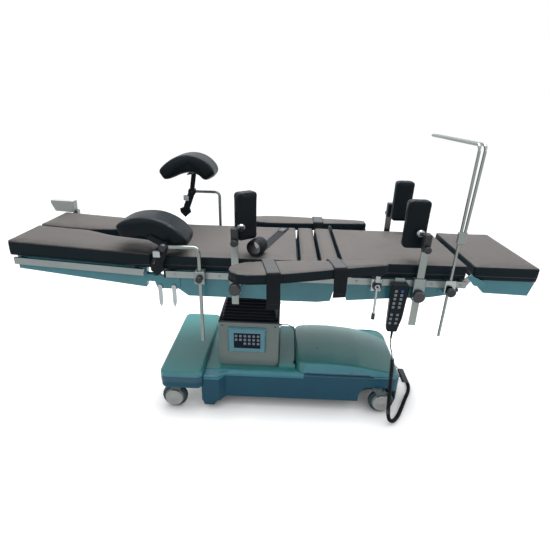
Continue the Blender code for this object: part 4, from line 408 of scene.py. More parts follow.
def material_of(name: str, finish: Finish, regions: Sequence[Region] = ()) -> bpy.types.Material:
    """A material of one finish with other finishes in its regions.

    Args:
        name: The material's name.
        finish: The finish of most of the piece.
        regions: Other finishes and where they are, the later ones on top.

    Returns:
        The material.
    """
    material = bpy.data.materials.new(name)
    material.use_nodes = True
    graph = Graph(material.node_tree)
    graph.tree.nodes.clear()
    shader = graph.add("ShaderNodeBsdfPrincipled")
    output = graph.add("ShaderNodeOutputMaterial")
    graph.feed(output.inputs["Surface"], shader.outputs[0])
    places = graph.add("ShaderNodeTexCoord")
    vector, band = places.outputs["Object"], places.outputs["UV"]
    colour, rough, metal, height = finish.layer(graph, vector, band)
    for region in regions:
        mask = region.mask(graph, vector)
        other = region.finish.layer(graph, vector, band)
        colour = graph.mix(mask, colour, other[0])
        rough = graph.mix(mask, rough, other[1], False)
        height = graph.mix(mask, height, other[3], False)
        if isinstance(metal, bpy.types.NodeSocket) or metal != other[2]:
            metal = graph.mix(mask, metal, other[2], False)
    bump = graph.fill(graph.add("ShaderNodeBump"), {"Distance": 1.0, "Strength": 0.8, "Height": height})
    graph.fill(shader, {
        "Base Color": colour, "Roughness": rough, "Metallic": metal, "Normal": bump.outputs[0],
        "Coat Weight": finish.coat, "Coat Roughness": 0.12, "Specular IOR Level": finish.gloss,
        "Sheen Weight": finish.sheen, "Sheen Roughness": 0.4,
    })
    return material


def leather(
    colour: Vec, shade: Vec, rough: float, scale: float = 700.0, dust: float = 0.02, gloss: float = 0.5
) -> Finish:
    """A pebbled hide."""
    return Finish(
        colour, shade, rough, 0.05, 0.0, Pattern.LEATHER, scale, depth=0.00008, dust=dust, gloss=gloss
    )


def steel(
    colour: Vec, shade: Vec, rough: float, spread: float = 0.05, scale: float = 260.0, stretch: Vec = EVEN,
    dust: float = 0.04
) -> Finish:
    """Brushed metal."""
    return Finish(colour, shade, rough, spread, 1.0, Pattern.BRUSHED, scale, stretch, 0.00001, dust)


def moulded(
    colour: Vec, shade: Vec, rough: float = 0.32, spread: float = 0.05, scale: float = 420.0,
    depth: float = 0.00001, dust: float = 0.04, coat: float = 0.0, gloss: float = 0.5, stretch: Vec = EVEN
) -> Finish:
    """Moulded plastic or paint."""
    return Finish(
        colour, shade, rough, spread, 0.0, Pattern.MOULDED, scale, stretch, depth, dust, coat, gloss=gloss
    )


def cloth(
    colour: Vec, shade: Vec, rough: float, depth: float, dust: float, sheen: float = 0.0, gloss: float = 0.5
) -> Finish:
    """A woven band."""
    return Finish(
        colour, shade, rough, 0.05, 0.0, Pattern.WOVEN, 1800.0, EVEN, depth, dust, sheen=sheen, gloss=gloss
    )


HIDE = leather((0.092, 0.086, 0.083), (0.112, 0.104, 0.100), 0.50, dust=0.03, gloss=0.12)
# Painted shade: the cushions' sides get this dark copy of the hide, standing in for the shade below their lit
# tops.
SHADED_SIDE_HIDE = leather((0.006, 0.014, 0.020), (0.010, 0.020, 0.027), 0.46)
DARK_HIDE = leather((0.005, 0.010, 0.014), (0.009, 0.014, 0.019), 0.40, 620.0, 0.01, 0.11)
PIPING = leather((0.020, 0.022, 0.025), (0.030, 0.032, 0.035), 0.45, 900.0, 0.05)
STEEL = steel((0.27, 0.295, 0.29), (0.21, 0.235, 0.235), 0.34, stretch=(0.04, 1.0, 1.0))
UPRIGHT_STEEL = steel((0.29, 0.315, 0.30), (0.22, 0.245, 0.24), 0.28, stretch=(1.0, 1.0, 0.04))
CHROME = steel((0.42, 0.45, 0.45), (0.34, 0.37, 0.38), 0.18, 0.04, 300.0, dust=0.03)
DARK_STEEL = Finish(
    (0.05, 0.055, 0.06), (0.08, 0.085, 0.09), 0.42, 0.08, 0.8, Pattern.BRUSHED, 200.0, EVEN, 0.00002, 0.05
)
TEAL = moulded((0.065, 0.300, 0.370), (0.080, 0.345, 0.415), 0.34, scale=500.0, dust=0.05, coat=0.4)
COVER = moulded((0.065, 0.320, 0.325), (0.080, 0.350, 0.350), 0.32, 0.04, dust=0.015, coat=0.2)
DOME = moulded(
    (0.060, 0.290, 0.290), (0.085, 0.335, 0.325), scale=300.0, dust=0.02, coat=0.2, stretch=(0.1, 1.0, 1.0)
)
BAND = moulded((0.080, 0.350, 0.440), (0.095, 0.385, 0.470), coat=0.4)
SKIRT = moulded((0.008, 0.100, 0.170), (0.012, 0.118, 0.192), 0.42, dust=0.02, gloss=0.35)
HOUSING = moulded((0.250, 0.300, 0.290), (0.275, 0.325, 0.310), 0.36, scale=500.0, coat=0.2)
RIM = Finish((0.006, 0.014, 0.020), (0.010, 0.020, 0.028), 0.45, 0.05, dust=0.03, gloss=0.3)
BEZEL = Finish((0.120, 0.380, 0.480), (0.150, 0.430, 0.530), 0.30, 0.05, coat=0.4)
PANEL = Finish((0.004, 0.010, 0.026), (0.008, 0.016, 0.036), 0.34, 0.04, dust=0.02, gloss=0.10)
KEY = Finish((0.42, 0.45, 0.52), (0.34, 0.37, 0.44), 0.40, 0.05, dust=0.05)
BLUE_KEY = Finish((0.04, 0.20, 0.62), (0.05, 0.24, 0.70), 0.35, 0.05)
BLACK = moulded((0.006, 0.010, 0.014), (0.012, 0.016, 0.021), 0.38, 0.06, 900.0, 0.00005, 0.03, gloss=0.15)
RUBBER = moulded((0.004, 0.005, 0.010), (0.008, 0.009, 0.016), 0.50, 0.06, 700.0, 0.00006, 0.03, gloss=0.2)
GREY_PLASTIC = moulded((0.14, 0.19, 0.20), (0.18, 0.23, 0.24), 0.42, 0.06, 600.0, 0.00005, 0.12)
PALE_GREY = moulded((0.42, 0.44, 0.42), (0.48, 0.50, 0.48), 0.40, 0.05, 600.0, 0.00004, 0.12)
HUB = moulded((0.74, 0.73, 0.70), (0.80, 0.79, 0.76), 0.36, 0.05, 500.0, 0.00004, 0.12)
TYRE = moulded((0.012, 0.050, 0.060), (0.018, 0.062, 0.072), 0.48, 0.06, 500.0, 0.00003, 0.06)
WEBBING = cloth((0.010, 0.013, 0.017), (0.018, 0.021, 0.026), 0.60, 0.00012, 0.04, gloss=0.12)
# Hook cloth of the strap patches, partly its own colour and partly painted light: paler than the webbing to
# stand in for the light on the straps' tops.
HOOKS_AND_LIGHT = Finish(
    (0.036, 0.038, 0.040), (0.056, 0.058, 0.060), 0.80, 0.05, 0.0, Pattern.MOULDED, 1400.0, EVEN,
    0.00030, 0.15, sheen=0.3,
)
# Painted light: a paler, lit copy of the webbing, for the tail through the buckle.
LIT_CLOTH = cloth((0.075, 0.085, 0.088), (0.100, 0.110, 0.112), 0.55, 0.00018, 0.10, 0.3)


# ---------------------------------------------------------------- modelling


def deselect() -> None:
    """Leaves nothing selected and no edit mode on."""
    if bpy.context.object and bpy.context.object.mode != "OBJECT":
        bpy.ops.object.mode_set(mode="OBJECT")
    bpy.ops.object.select_all(action="DESELECT")


def activate(obj: bpy.types.Object) -> bpy.types.Object:
    """Selects one object alone and makes it active."""
    deselect()
    obj.select_set(True)
    bpy.context.view_layer.objects.active = obj
    return obj


def settle(name: str) -> bpy.types.Object:
    """Names the active new object and moves its place into its mesh."""
    obj = activate(bpy.context.object)
    bpy.ops.object.transform_apply(location=True, rotation=True, scale=True)
    obj.name = obj.data.name = name
    return obj


def modify(obj: bpy.types.Object, kind: str, **settings: object) -> bpy.types.Object:
    """Adds a modifier, sets it and applies it.

    Args:
        obj: The piece.
        kind: The modifier's type name.
        settings: Properties of the modifier.

    Returns:
        The piece.
    """
    activate(obj)
    modifier = obj.modifiers.new(kind.lower(), kind)
    for key, value in settings.items():
        setattr(modifier, key, value)
    bpy.ops.object.modifier_apply(modifier=modifier.name)
    return obj


@contextmanager
def editing(obj: bpy.types.Object, outward: bool = True) -> Iterator[None]:
    """Edit mode with the whole piece selected at the start.

    Args:
        obj: The piece.
        outward: Whether its faces are turned outward at the end.
    """
    activate(obj)
    bpy.ops.object.mode_set(mode="EDIT")
    bpy.ops.mesh.select_all(action="SELECT")
    yield
    if outward:
        bpy.ops.mesh.select_all(action="SELECT")
        bpy.ops.mesh.normals_make_consistent(inside=False)
    bpy.ops.object.mode_set(mode="OBJECT")


def pull(move: Sequence[float], grow: Sequence[float], centre: Sequence[float], turn: float = 0.0) -> None:
    """Extrudes what is selected, turns it about a line across the table and sizes it.

    Args:
        move: How far it is pulled.
        grow: How much it is sized along each axis.
        centre: The place about which it is turned and sized.
        turn: The turn's angle.
    """
    bpy.ops.mesh.extrude_region_move(TRANSFORM_OT_translate={"value": move})
    if turn:
        bpy.ops.transform.rotate(value=turn, orient_axis="Y", center_override=centre)
    bpy.ops.transform.resize(value=grow, center_override=centre)


def finish_piece(
    obj: bpy.types.Object, finish: Finish, body: str | None, regions: Sequence[Region] = (),
    degrees: float = 35.0
) -> bpy.types.Object:
    """Shades and dresses a piece, attaches it and reports it.

    Args:
        obj: The piece.
        finish: Its finish.
        body: The body that it rides on, or none where it is blended between two.
        regions: Other finishes and where they are.
        degrees: Edges sharper than this stay sharp.

    Returns:
        The piece.
    """
    activate(obj)
    bpy.ops.object.shade_smooth_by_angle(angle=math.radians(degrees))
    obj.data.materials.clear()
    obj.data.materials.append(material_of(obj.name, finish, regions))
    if body:
        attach(obj, body)
    LOG.info("piece %s on %s, %d faces", obj.name, body, len(obj.data.polygons))
    return obj


def add_block(name: str, low: Sequence[float], high: Sequence[float], edge: float) -> bpy.types.Object:
    """A block between two corners with rounded edges.

    Args:
        name: The piece's name.
        low: Its low corner.
        high: Its high corner.
        edge: Width of the rounded edges.

    Returns:
        The block.
    """
    deselect()
    middle = [(a + b) / 2 for a, b in zip(low, high)]
    bpy.ops.mesh.primitive_cube_add(size=1.0, location=middle, scale=[b - a for a, b in zip(low, high)])
    return modify(settle(name), "BEVEL", width=edge, segments=2)


def add_stepped(
    name: str, start: Sequence[float], way: Sequence[float], profile: Sequence[Span], sides: int = 24
) -> bpy.types.Object:
    """A round piece pulled out of a disc in steps.

    Args:
        name: The piece's name.
        start: The middle of its first face.
        way: Its axis.
        profile: Radius and distance along the axis of each ring.
        sides: Facets round it.

    Returns:
        The piece, closed at both ends.
    """
    deselect()
    axis = Vector(way).normalized()
    turn = axis.to_track_quat("Z", "Y").to_euler()
    first, along = profile[0]
    bpy.ops.mesh.primitive_circle_add(
        vertices=sides, radius=first, fill_type="NGON", location=Vector(start) + axis * along, rotation=turn
    )
    obj = settle(name)
    with editing(obj):
        for (r0, a0), (r1, a1) in zip(profile, profile[1:]):
            pull(axis * (a1 - a0), (r1 / r0,) * 3, Vector(start) + axis * a1)
    return obj


def join(name: str, pieces: Sequence[bpy.types.Object]) -> bpy.types.Object:
    """Joins pieces into the first.

    Args:
        name: The joined piece's name.
        pieces: One or more pieces.

    Returns:
        The joined piece.
    """
    activate(pieces[0])
    for piece in pieces:
        piece.select_set(True)
    if len(pieces) > 1:
        bpy.ops.object.join()
    obj = bpy.context.object
    obj.name = obj.data.name = name
    return obj


def placed(obj: bpy.types.Object, matrix: Matrix) -> bpy.types.Object:
    """Turns and moves a piece's mesh."""
    activate(obj)
    obj.matrix_world = matrix
    bpy.ops.object.transform_apply(location=True, rotation=True, scale=True)
    return obj


def copy_of_node(node: str, name: str) -> bpy.types.Object:
    """A merged copy of a solid's mesh as a new piece.

    Args:
        node: The solid's name.
        name: The new piece's name.

    Returns:
        The new piece.
    """
    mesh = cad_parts[node].data.copy()
    mesh.materials.clear()
    obj = bpy.data.objects.new(name, mesh)
    bpy.context.scene.collection.objects.link(obj)
    activate(obj)
    bpy.ops.mesh.customdata_custom_splitnormals_clear()
    with editing(obj):
        bpy.ops.mesh.remove_doubles(threshold=0.00002)
    return obj


def rows_of(obj: bpy.types.Object, key: str = "co") -> np.ndarray:
    """A mesh's points, or another vector of each point, as rows."""
    rows = np.empty(len(obj.data.vertices) * 3)
    obj.data.vertices.foreach_get(key, rows)
    return rows.reshape(-1, 3)


def set_points(obj: bpy.types.Object, points: np.ndarray) -> None:
    """Writes a mesh's points back."""
    obj.data.vertices.foreach_set("co", points.ravel())
    obj.data.update()


def spline_points(route: Sequence[Sequence[float]], per: int = 10) -> list[Vector]:
    """Closely spaced points on a smooth curve through a route.

    Args:
        route: The places that the curve passes.
        per: Points between one place and the next.

    Returns:
        The points, with both ends of the route.
    """
    marks = [Vector(p) for p in route]
    marks = [2 * marks[0] - marks[1]] + marks + [2 * marks[-1] - marks[-2]]
    result = []
    for a, b, c, d in zip(marks, marks[1:], marks[2:], marks[3:]):
        for t in (k / per for k in range(per)):
            bend = (2 * a - 5 * b + 4 * c - d) * t**2 + (3 * b - a - 3 * c + d) * t**3
            result.append(0.5 * (2 * b + (c - a) * t + bend))
    return result + [marks[-2]]


def along_route(route: Sequence[Vector], distance: float) -> tuple[Vector, Vector]:
    """Place and direction at a distance along a route.

    Args:
        route: Points of the route.
        distance: The length from its first point.

    Returns:
        The place and a unit direction, those of the end where the route is shorter.
    """
    walked = 0.0
    for a, b in zip(route, route[1:]):
        step = (b - a).length
        if walked + step >= distance:
            return a + (b - a) * ((distance - walked) / step), (b - a).normalized()
        walked += step
    return route[-1], (route[-1] - route[-2]).normalized()


def length_of(points: Sequence[Vector]) -> float:
    """Length of a line of points."""
    return sum((b - a).length for a, b in zip(points, points[1:]))


def round_line(name: str, points: Sequence[Vector], radius: float, detail: int = 2) -> bpy.types.Object:
    """A curve of one open spline with a round section.

    Args:
        name: The curve's name.
        points: Points of its middle line.
        radius: Radius of its section.
        detail: Smoothness of its section.

    Returns:
        The curve object.
    """
    deselect()
    curve = bpy.data.curves.new(name, "CURVE")
    curve.dimensions = "3D"
    curve.bevel_depth = radius
    curve.bevel_resolution = detail
    curve.use_fill_caps = True
    spline = curve.splines.new("POLY")
    spline.points.add(len(points) - 1)
    for point, place in zip(spline.points, points):
        point.co = (*place, 1.0)
    obj = bpy.data.objects.new(name, curve)
    bpy.context.scene.collection.objects.link(obj)
    return obj


# ---------------------------------------------------------------- cords


@dataclass
class Cords:
    """The handset's curly cord and the thin cable of the control panel."""

    radius: float = 0.0026
    curl: float = 0.0072
    curls: int = 96
    per_turn: int = 12
    plain_start: float = 0.100
    plain_end: float = 0.090
    route: tuple[Vec, ...] = (
        (0.652, -0.276, 0.4667), (0.653, -0.276, 0.440), (0.659, -0.279, 0.412), (0.667, -0.284, 0.385),
        (0.672, -0.290, 0.340), (0.675, -0.297, 0.270), (0.677, -0.307, 0.200), (0.680, -0.316, 0.130),
        (0.685, -0.320, 0.070), (0.698, -0.316, 0.030), (0.722, -0.302, 0.0120), (0.752, -0.268, 0.0115),
        (0.788, -0.205, 0.0115), (0.825, -0.135, 0.0115), (0.855, -0.080, 0.0115), (0.872, -0.025, 0.0115),
        (0.868, 0.025, 0.016), (0.845, 0.052, 0.045), (0.812, 0.060, 0.078), (0.790, 0.060, 0.089),
        (0.7733, 0.060, 0.090),
    )
    panel_route: tuple[Vec, ...] = (
        (0.1460, -0.150, 0.440), (0.156, -0.151, 0.4415), (0.172, -0.153, 0.4445), (0.190, -0.156, 0.4440),
        (0.206, -0.160, 0.437), (0.217, -0.163, 0.424), (0.222, -0.165, 0.405), (0.2245, -0.166, 0.370),
        (0.2265, -0.166, 0.330), (0.2275, -0.166, 0.290), (0.2275, -0.166, 0.255), (0.2275, -0.166, 0.2335),
    )
    panel_radius: float = 0.0021

    def curly_points(self) -> list[Vector]:
        """Points of the cord: plain at both ends and a helix between."""
        route = spline_points(self.route)
        total = length_of(route)
        start, end = self.plain_start, total - self.plain_end
        points = [along_route(route, start * k / 4)[0] for k in range(4)]
        steps = self.curls * self.per_turn
        side = ALONG
        for k in range(steps + 1):
            place, along = along_route(route, start + (end - start) * k / steps)
            side = (side - along * side.dot(along)).normalized()
            other = along.cross(side)
            angle = 2 * math.pi * k / self.per_turn
            swell = self.curl * min(1.0, k / self.per_turn, (steps - k) / self.per_turn)
            points.append(place + (side * math.cos(angle) + other * math.sin(angle)) * swell)
        points += [along_route(route, end + self.plain_end * k / 4)[0] for k in (1, 2, 3)]
        return points + [route[-1]]

    def build(self) -> None:
        """Makes both cords."""
        points = self.curly_points()
        cord = round_line("curly_cord", points, self.radius, 1)
        activate(cord)
        bpy.ops.object.convert(target="MESH")
        cord = bpy.context.object
        cord.name = cord.data.name = "curly_cord"
        finish_piece(cord, BLACK, None, degrees=80)
        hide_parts("handset_cord")
        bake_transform(cord)
        line = spline_points(self.panel_route, 3)
        cable = round_line("panel_cable", line, self.panel_radius)
        cable.data.materials.append(material_of(cable.name, BLACK))
        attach(cable, "base")
        grommet = [(0.0055, 0.0), (0.0055, 0.003), (0.0042, 0.004), (0.0036, 0.012), (0.0026, 0.013)]
        foot = [(0.0062, 0.0), (0.0062, 0.003), (0.0045, 0.0045), (0.0034, 0.012), (0.0026, 0.013)]
        sleeves = [
            add_stepped("cable_grommet", (0.1468, -0.150, 0.440), (1.0, -0.02, 0.05), grommet, 16),
            add_stepped("cable_foot", (0.2275, -0.166, 0.2349), UP, foot, 16),
        ]
        finish_piece(join("cable_grommets", sleeves), RUBBER, "base")


# ---------------------------------------------------------------- cushions


@dataclass(frozen=True)
class Board:
    """An armboard's place, its turn and the body that it rides on."""

    place: Vec
    turn: float
    body: str

    def matrix(self) -> Matrix:
        """From the board's own axes to the table's."""
        return Matrix.Translation(Vector(self.place)) @ Matrix.Rotation(math.radians(self.turn), 4, "Z")


BOARDS = {
    "near": Board((0.549, -0.305, 0.846), 191.8, "armboard_near"),
    "far": Board((0.578, 0.346, 0.836), 180.0, "armboard_far"),
}


LAST_FRAME = 20
CLOTH_SETTINGS = {
    "quality": 4, "mass": 0.3, "tension_stiffness": 12.0, "compression_stiffness": 12.0,
    "shear_stiffness": 4.0, "bending_stiffness": 0.6, "use_pressure": True, "uniform_pressure_force": 4.0,
}


@dataclass
class Cushion:
    """A stuffed cushion grown by cloth pressure from a slightly smaller form.

    The form comes from its solid, so it keeps the solid's place.
    """

    node: str
    body: str
    finish: Finish = HIDE
    voxel: float = 0.0055
    shrink: float = 0.0016
    cap: float = 0.0022
    rest: Vec | None = (0.0, 0.0, -1.0)
    fill: float = 0.8
    softness: int = 2
    shade_line: float | None = None
    tilt: float = 0.0

    def form(self) -> bpy.types.Object:
        """The plain form that is stuffed: a copy of the solid."""
        return copy_of_node(self.node, self.node + "_cushion")

    def regions(self) -> list[Region]:
        """Painted shade: a darker copy of the hide on the sides, below the edge of the top, standing in for
        the shade that falls there.
        """
        if self.shade_line is None:
            return []
        return [Region(SHADED_SIDE_HIDE, z=(-FAR, self.shade_line), tilt=self.tilt)]

    def build(self) -> bpy.types.Object:
        obj = self.form()
        modify(obj, "REMESH", mode="VOXEL", voxel_size=self.voxel)
        modify(obj, "SMOOTH", factor=0.5, iterations=self.softness)
        rested, normals = rows_of(obj), rows_of(obj, "normal")
        down = np.zeros(len(rested))
        if self.rest:
            down = np.clip((normals @ np.array(self.rest) - 0.6) / 0.3, 0.0, 1.0)
        slim = rested - normals * (self.shrink * (1.0 - down))[:, None]
        set_points(obj, slim)
        set_points(obj, self.swollen(obj, slim, down))
        modify(obj, "SMOOTH", factor=0.5, iterations=1)
        modify(obj, "SUBSURF", levels=1, render_levels=1)
        finish_piece(obj, self.finish, self.body, self.regions(), 60)
        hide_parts(self.node)
        return obj

    def swollen(self, obj: bpy.types.Object, slim: np.ndarray, down: np.ndarray) -> np.ndarray:
        """Points after the cloth has been pressed out from inside, moved no further than the cap.

        Args:
            obj: The slim form.
            slim: Its points.
            down: How much each point faces the deck.

        Returns:
            The moved points.
        """
        scene = bpy.context.scene
        group = obj.vertex_groups.new(name="held")
        held = [int(i) for i in np.nonzero(down > 0.5)[0]]
        if held:
            group.add(held, 1.0, "REPLACE")
        skin = obj.modifiers.new("cloth", "CLOTH")
        for key, value in CLOTH_SETTINGS.items():
            setattr(skin.settings, key, value)
        skin.settings.effector_weights.gravity = 0.0
        skin.settings.vertex_group_mass = "held" if held else ""
        skin.point_cache.frame_start, skin.point_cache.frame_end = 1, LAST_FRAME
        for number in range(1, LAST_FRAME + 1):
            scene.frame_set(number)
        graph = bpy.context.evaluated_depsgraph_get()
        mesh = obj.evaluated_get(graph).to_mesh()
        moved = np.empty(len(mesh.vertices) * 3)
        mesh.vertices.foreach_get("co", moved)
        obj.evaluated_get(graph).to_mesh_clear()
        obj.modifiers.remove(skin)
        obj.vertex_groups.remove(group)
        scene.frame_set(1)
        delta = moved.reshape(-1, 3) - slim
        far = np.linalg.norm(delta, axis=1, keepdims=True)
        scale = self.cap * np.tanh(far / self.cap) / np.maximum(far, 1e-9)
        return slim + delta * scale


SADDLES = {
    "near": (-0.190, (
        (-0.556, 0.917), (-0.510, 0.930), (-0.455, 0.941), (-0.400, 0.941), (-0.348, 0.925), (-0.300, 0.892),
        (-0.262, 0.850),
    )),
    "far": (0.190, (
        (-0.468, 1.082), (-0.425, 1.110), (-0.375, 1.139), (-0.325, 1.153), (-0.274, 1.145), (-0.234, 1.116),
        (-0.211, 1.078),
    )),
}
SADDLE_THICK = (0.050, 0.072, 0.082, 0.084, 0.084, 0.080, 0.062)


@dataclass
class Saddle(Cushion):
    """A leg holder's cushion: a thick pad bent down over the knee."""

    middle: float = 0.0
    path: tuple[Span, ...] = ()
    wide: float = 0.160
    corner_share: float = 0.24

    def form(self) -> bpy.types.Object:
        """Pulls a rounded section along the path, turned and sized at each place."""
        places = [Vector((x, self.middle, z)) for x, z in self.path]
        ways = [places[min(i + 1, len(places) - 1)] - places[max(i - 1, 0)] for i in range(len(places))]
        angles = [math.atan2(way.z, way.x) for way in ways]
        deselect()
        first = SADDLE_THICK[0]
        bpy.ops.mesh.primitive_plane_add(size=1.0)
        obj = settle(self.node + "_cushion")
        with editing(obj):
            bpy.ops.transform.resize(value=(first, self.wide, 1.0), center_override=ORIGIN)
            bpy.ops.mesh.bevel(offset=first * self.corner_share, segments=4, affect="VERTICES")
            bpy.ops.mesh.select_all(action="SELECT")
            bpy.ops.transform.rotate(value=angles[0] - math.pi / 2, orient_axis="Y", center_override=ORIGIN)
            bpy.ops.transform.translate(value=places[0])
            for i in range(1, len(places)):
                grow = SADDLE_THICK[i] / SADDLE_THICK[i - 1]
                pull(places[i] - places[i - 1], (grow, 1.0, grow), places[i], angles[i] - angles[i - 1])
        return modify(obj, "SUBSURF", levels=2, render_levels=2)


@dataclass
class Welt:
    """The piping sewn round a cushion's side, laid on the cushion's own surface."""

    cushion: bpy.types.Object
    body: str
    height: float
    tilt: float = 0.0
    radius: float = 0.0013

    def build(self) -> bpy.types.Object:
        """Cuts a level loop out of a copy of the cushion and thickens it."""
        activate(self.cushion)
        bpy.ops.object.duplicate()
        obj = bpy.context.object
        obj.parent = None
        for key in list(obj.keys()):
            del obj[key]
        name = self.cushion.name.replace("_cushion", "_welt")
        normal = Vector((-math.sin(self.tilt), 0.0, math.cos(self.tilt)))
        foot = Vector((LEG_AXIS.x if self.tilt else 0.0, 0.0, self.height))
        with editing(obj, False):
            bpy.ops.mesh.bisect(plane_co=foot, plane_no=normal, clear_inner=True, clear_outer=True)
        bpy.ops.object.convert(target="CURVE")
        obj = bpy.context.object
        obj.data.bevel_depth = self.radius
        obj.data.bevel_resolution = 1
        activate(obj)
        bpy.ops.object.convert(target="MESH")
        obj = bpy.context.object
        obj.name = obj.data.name = name
        obj.data.materials.clear()
        return finish_piece(obj, PIPING, self.body, degrees=60)


@dataclass
class Cushions:
    """All of the table's cushions, with the piping of the deck cushions."""

    deck: tuple[tuple[str, str], ...] = (
        ("seat_pad", "seat"), ("lumbar_pad", "seat"), ("kidney_pad", "kidney"), ("back_pad", "back"),
        ("head_pad", "head"),
    )
    welt_height: float = 0.773

    def build(self) -> None:
        """Makes every cushion."""
        # Below this line the cushions' sides get the painted shade.
        top = PAD_TOP - TOP_EDGE
        for node, body in self.deck:
            Welt(Cushion(node, body, shade_line=top).build(), body, self.welt_height).build()
        tilted = (math.sin(LEG_TILT), 0.0, -math.cos(LEG_TILT))
        for side in ("near", "far"):
            leg = Cushion("leg_pad_" + side, "leg_" + side, rest=tilted, shade_line=top, tilt=LEG_TILT)
            Welt(leg.build(), leg.body, self.welt_height, LEG_TILT).build()
            # The armboard pads' sides below this height get the painted shade too.
            edge = BOARDS[side].place[2] - 0.008
            fine = {"voxel": 0.0040, "shrink": 0.0010, "cap": 0.0018, "shade_line": edge}
            Cushion("armboard_pad_" + side, "armboard_" + side, **fine).build()
            middle, path = SADDLES[side]
            firm = {"voxel": 0.0045, "shrink": 0.0, "cap": 0.0030, "rest": None, "fill": 0.9, "softness": 3}
            bent = {"middle": middle, "path": path}
            Saddle("knee_pad_" + side, "knee_rest_" + side, DARK_HIDE, **firm, **bent).build()
        small = {"voxel": 0.0035, "shrink": 0.0008, "cap": 0.0016, "rest": None, "fill": 0.9, "softness": 3}
        for key in ("left", "right", "far"):
            Cushion("support_pad_" + key, "support_" + key, DARK_HIDE, **small).build()


# ---------------------------------------------------------------- solids


def sided(finish: Finish, **spans: Span) -> Region:
    """A region that is on both sides of the table."""
    return Region(finish, mirrored=True, **spans)


def knob_at(x: float, z: float, out: float, radius: float, side: int = 0) -> Region:
    """The black grip of a knob that turns on a line across the table.

    Args:
        x: The knob's place along the table.
        z: Its height.
        out: Where the grip starts, from the middle of the table.
        radius: The grip's radius.
        side: The near side at -1, the far side at 1, both at 0.

    Returns:
        The region.
    """
    beyond = (out, FAR) if side >= 0 else (-FAR, -out)
    return Region(BLACK, y=beyond, mirrored=side == 0, centre=(x, 0.0, z), radius=radius)


BASE_FOOT, BASE_REAR = -0.2135, 0.275
SOCKET_Z, SOCKET_OUT, SOCKET_RADIUS = 0.690, 0.279, 0.0275
CLAMP_Z, CLAMP_OUT = 0.7347, 0.2985
GRIP_IN, GRIP_LOW, GRIP_TOP = 0.2595, 0.885, 0.961
DECK_LINE = 0.0055


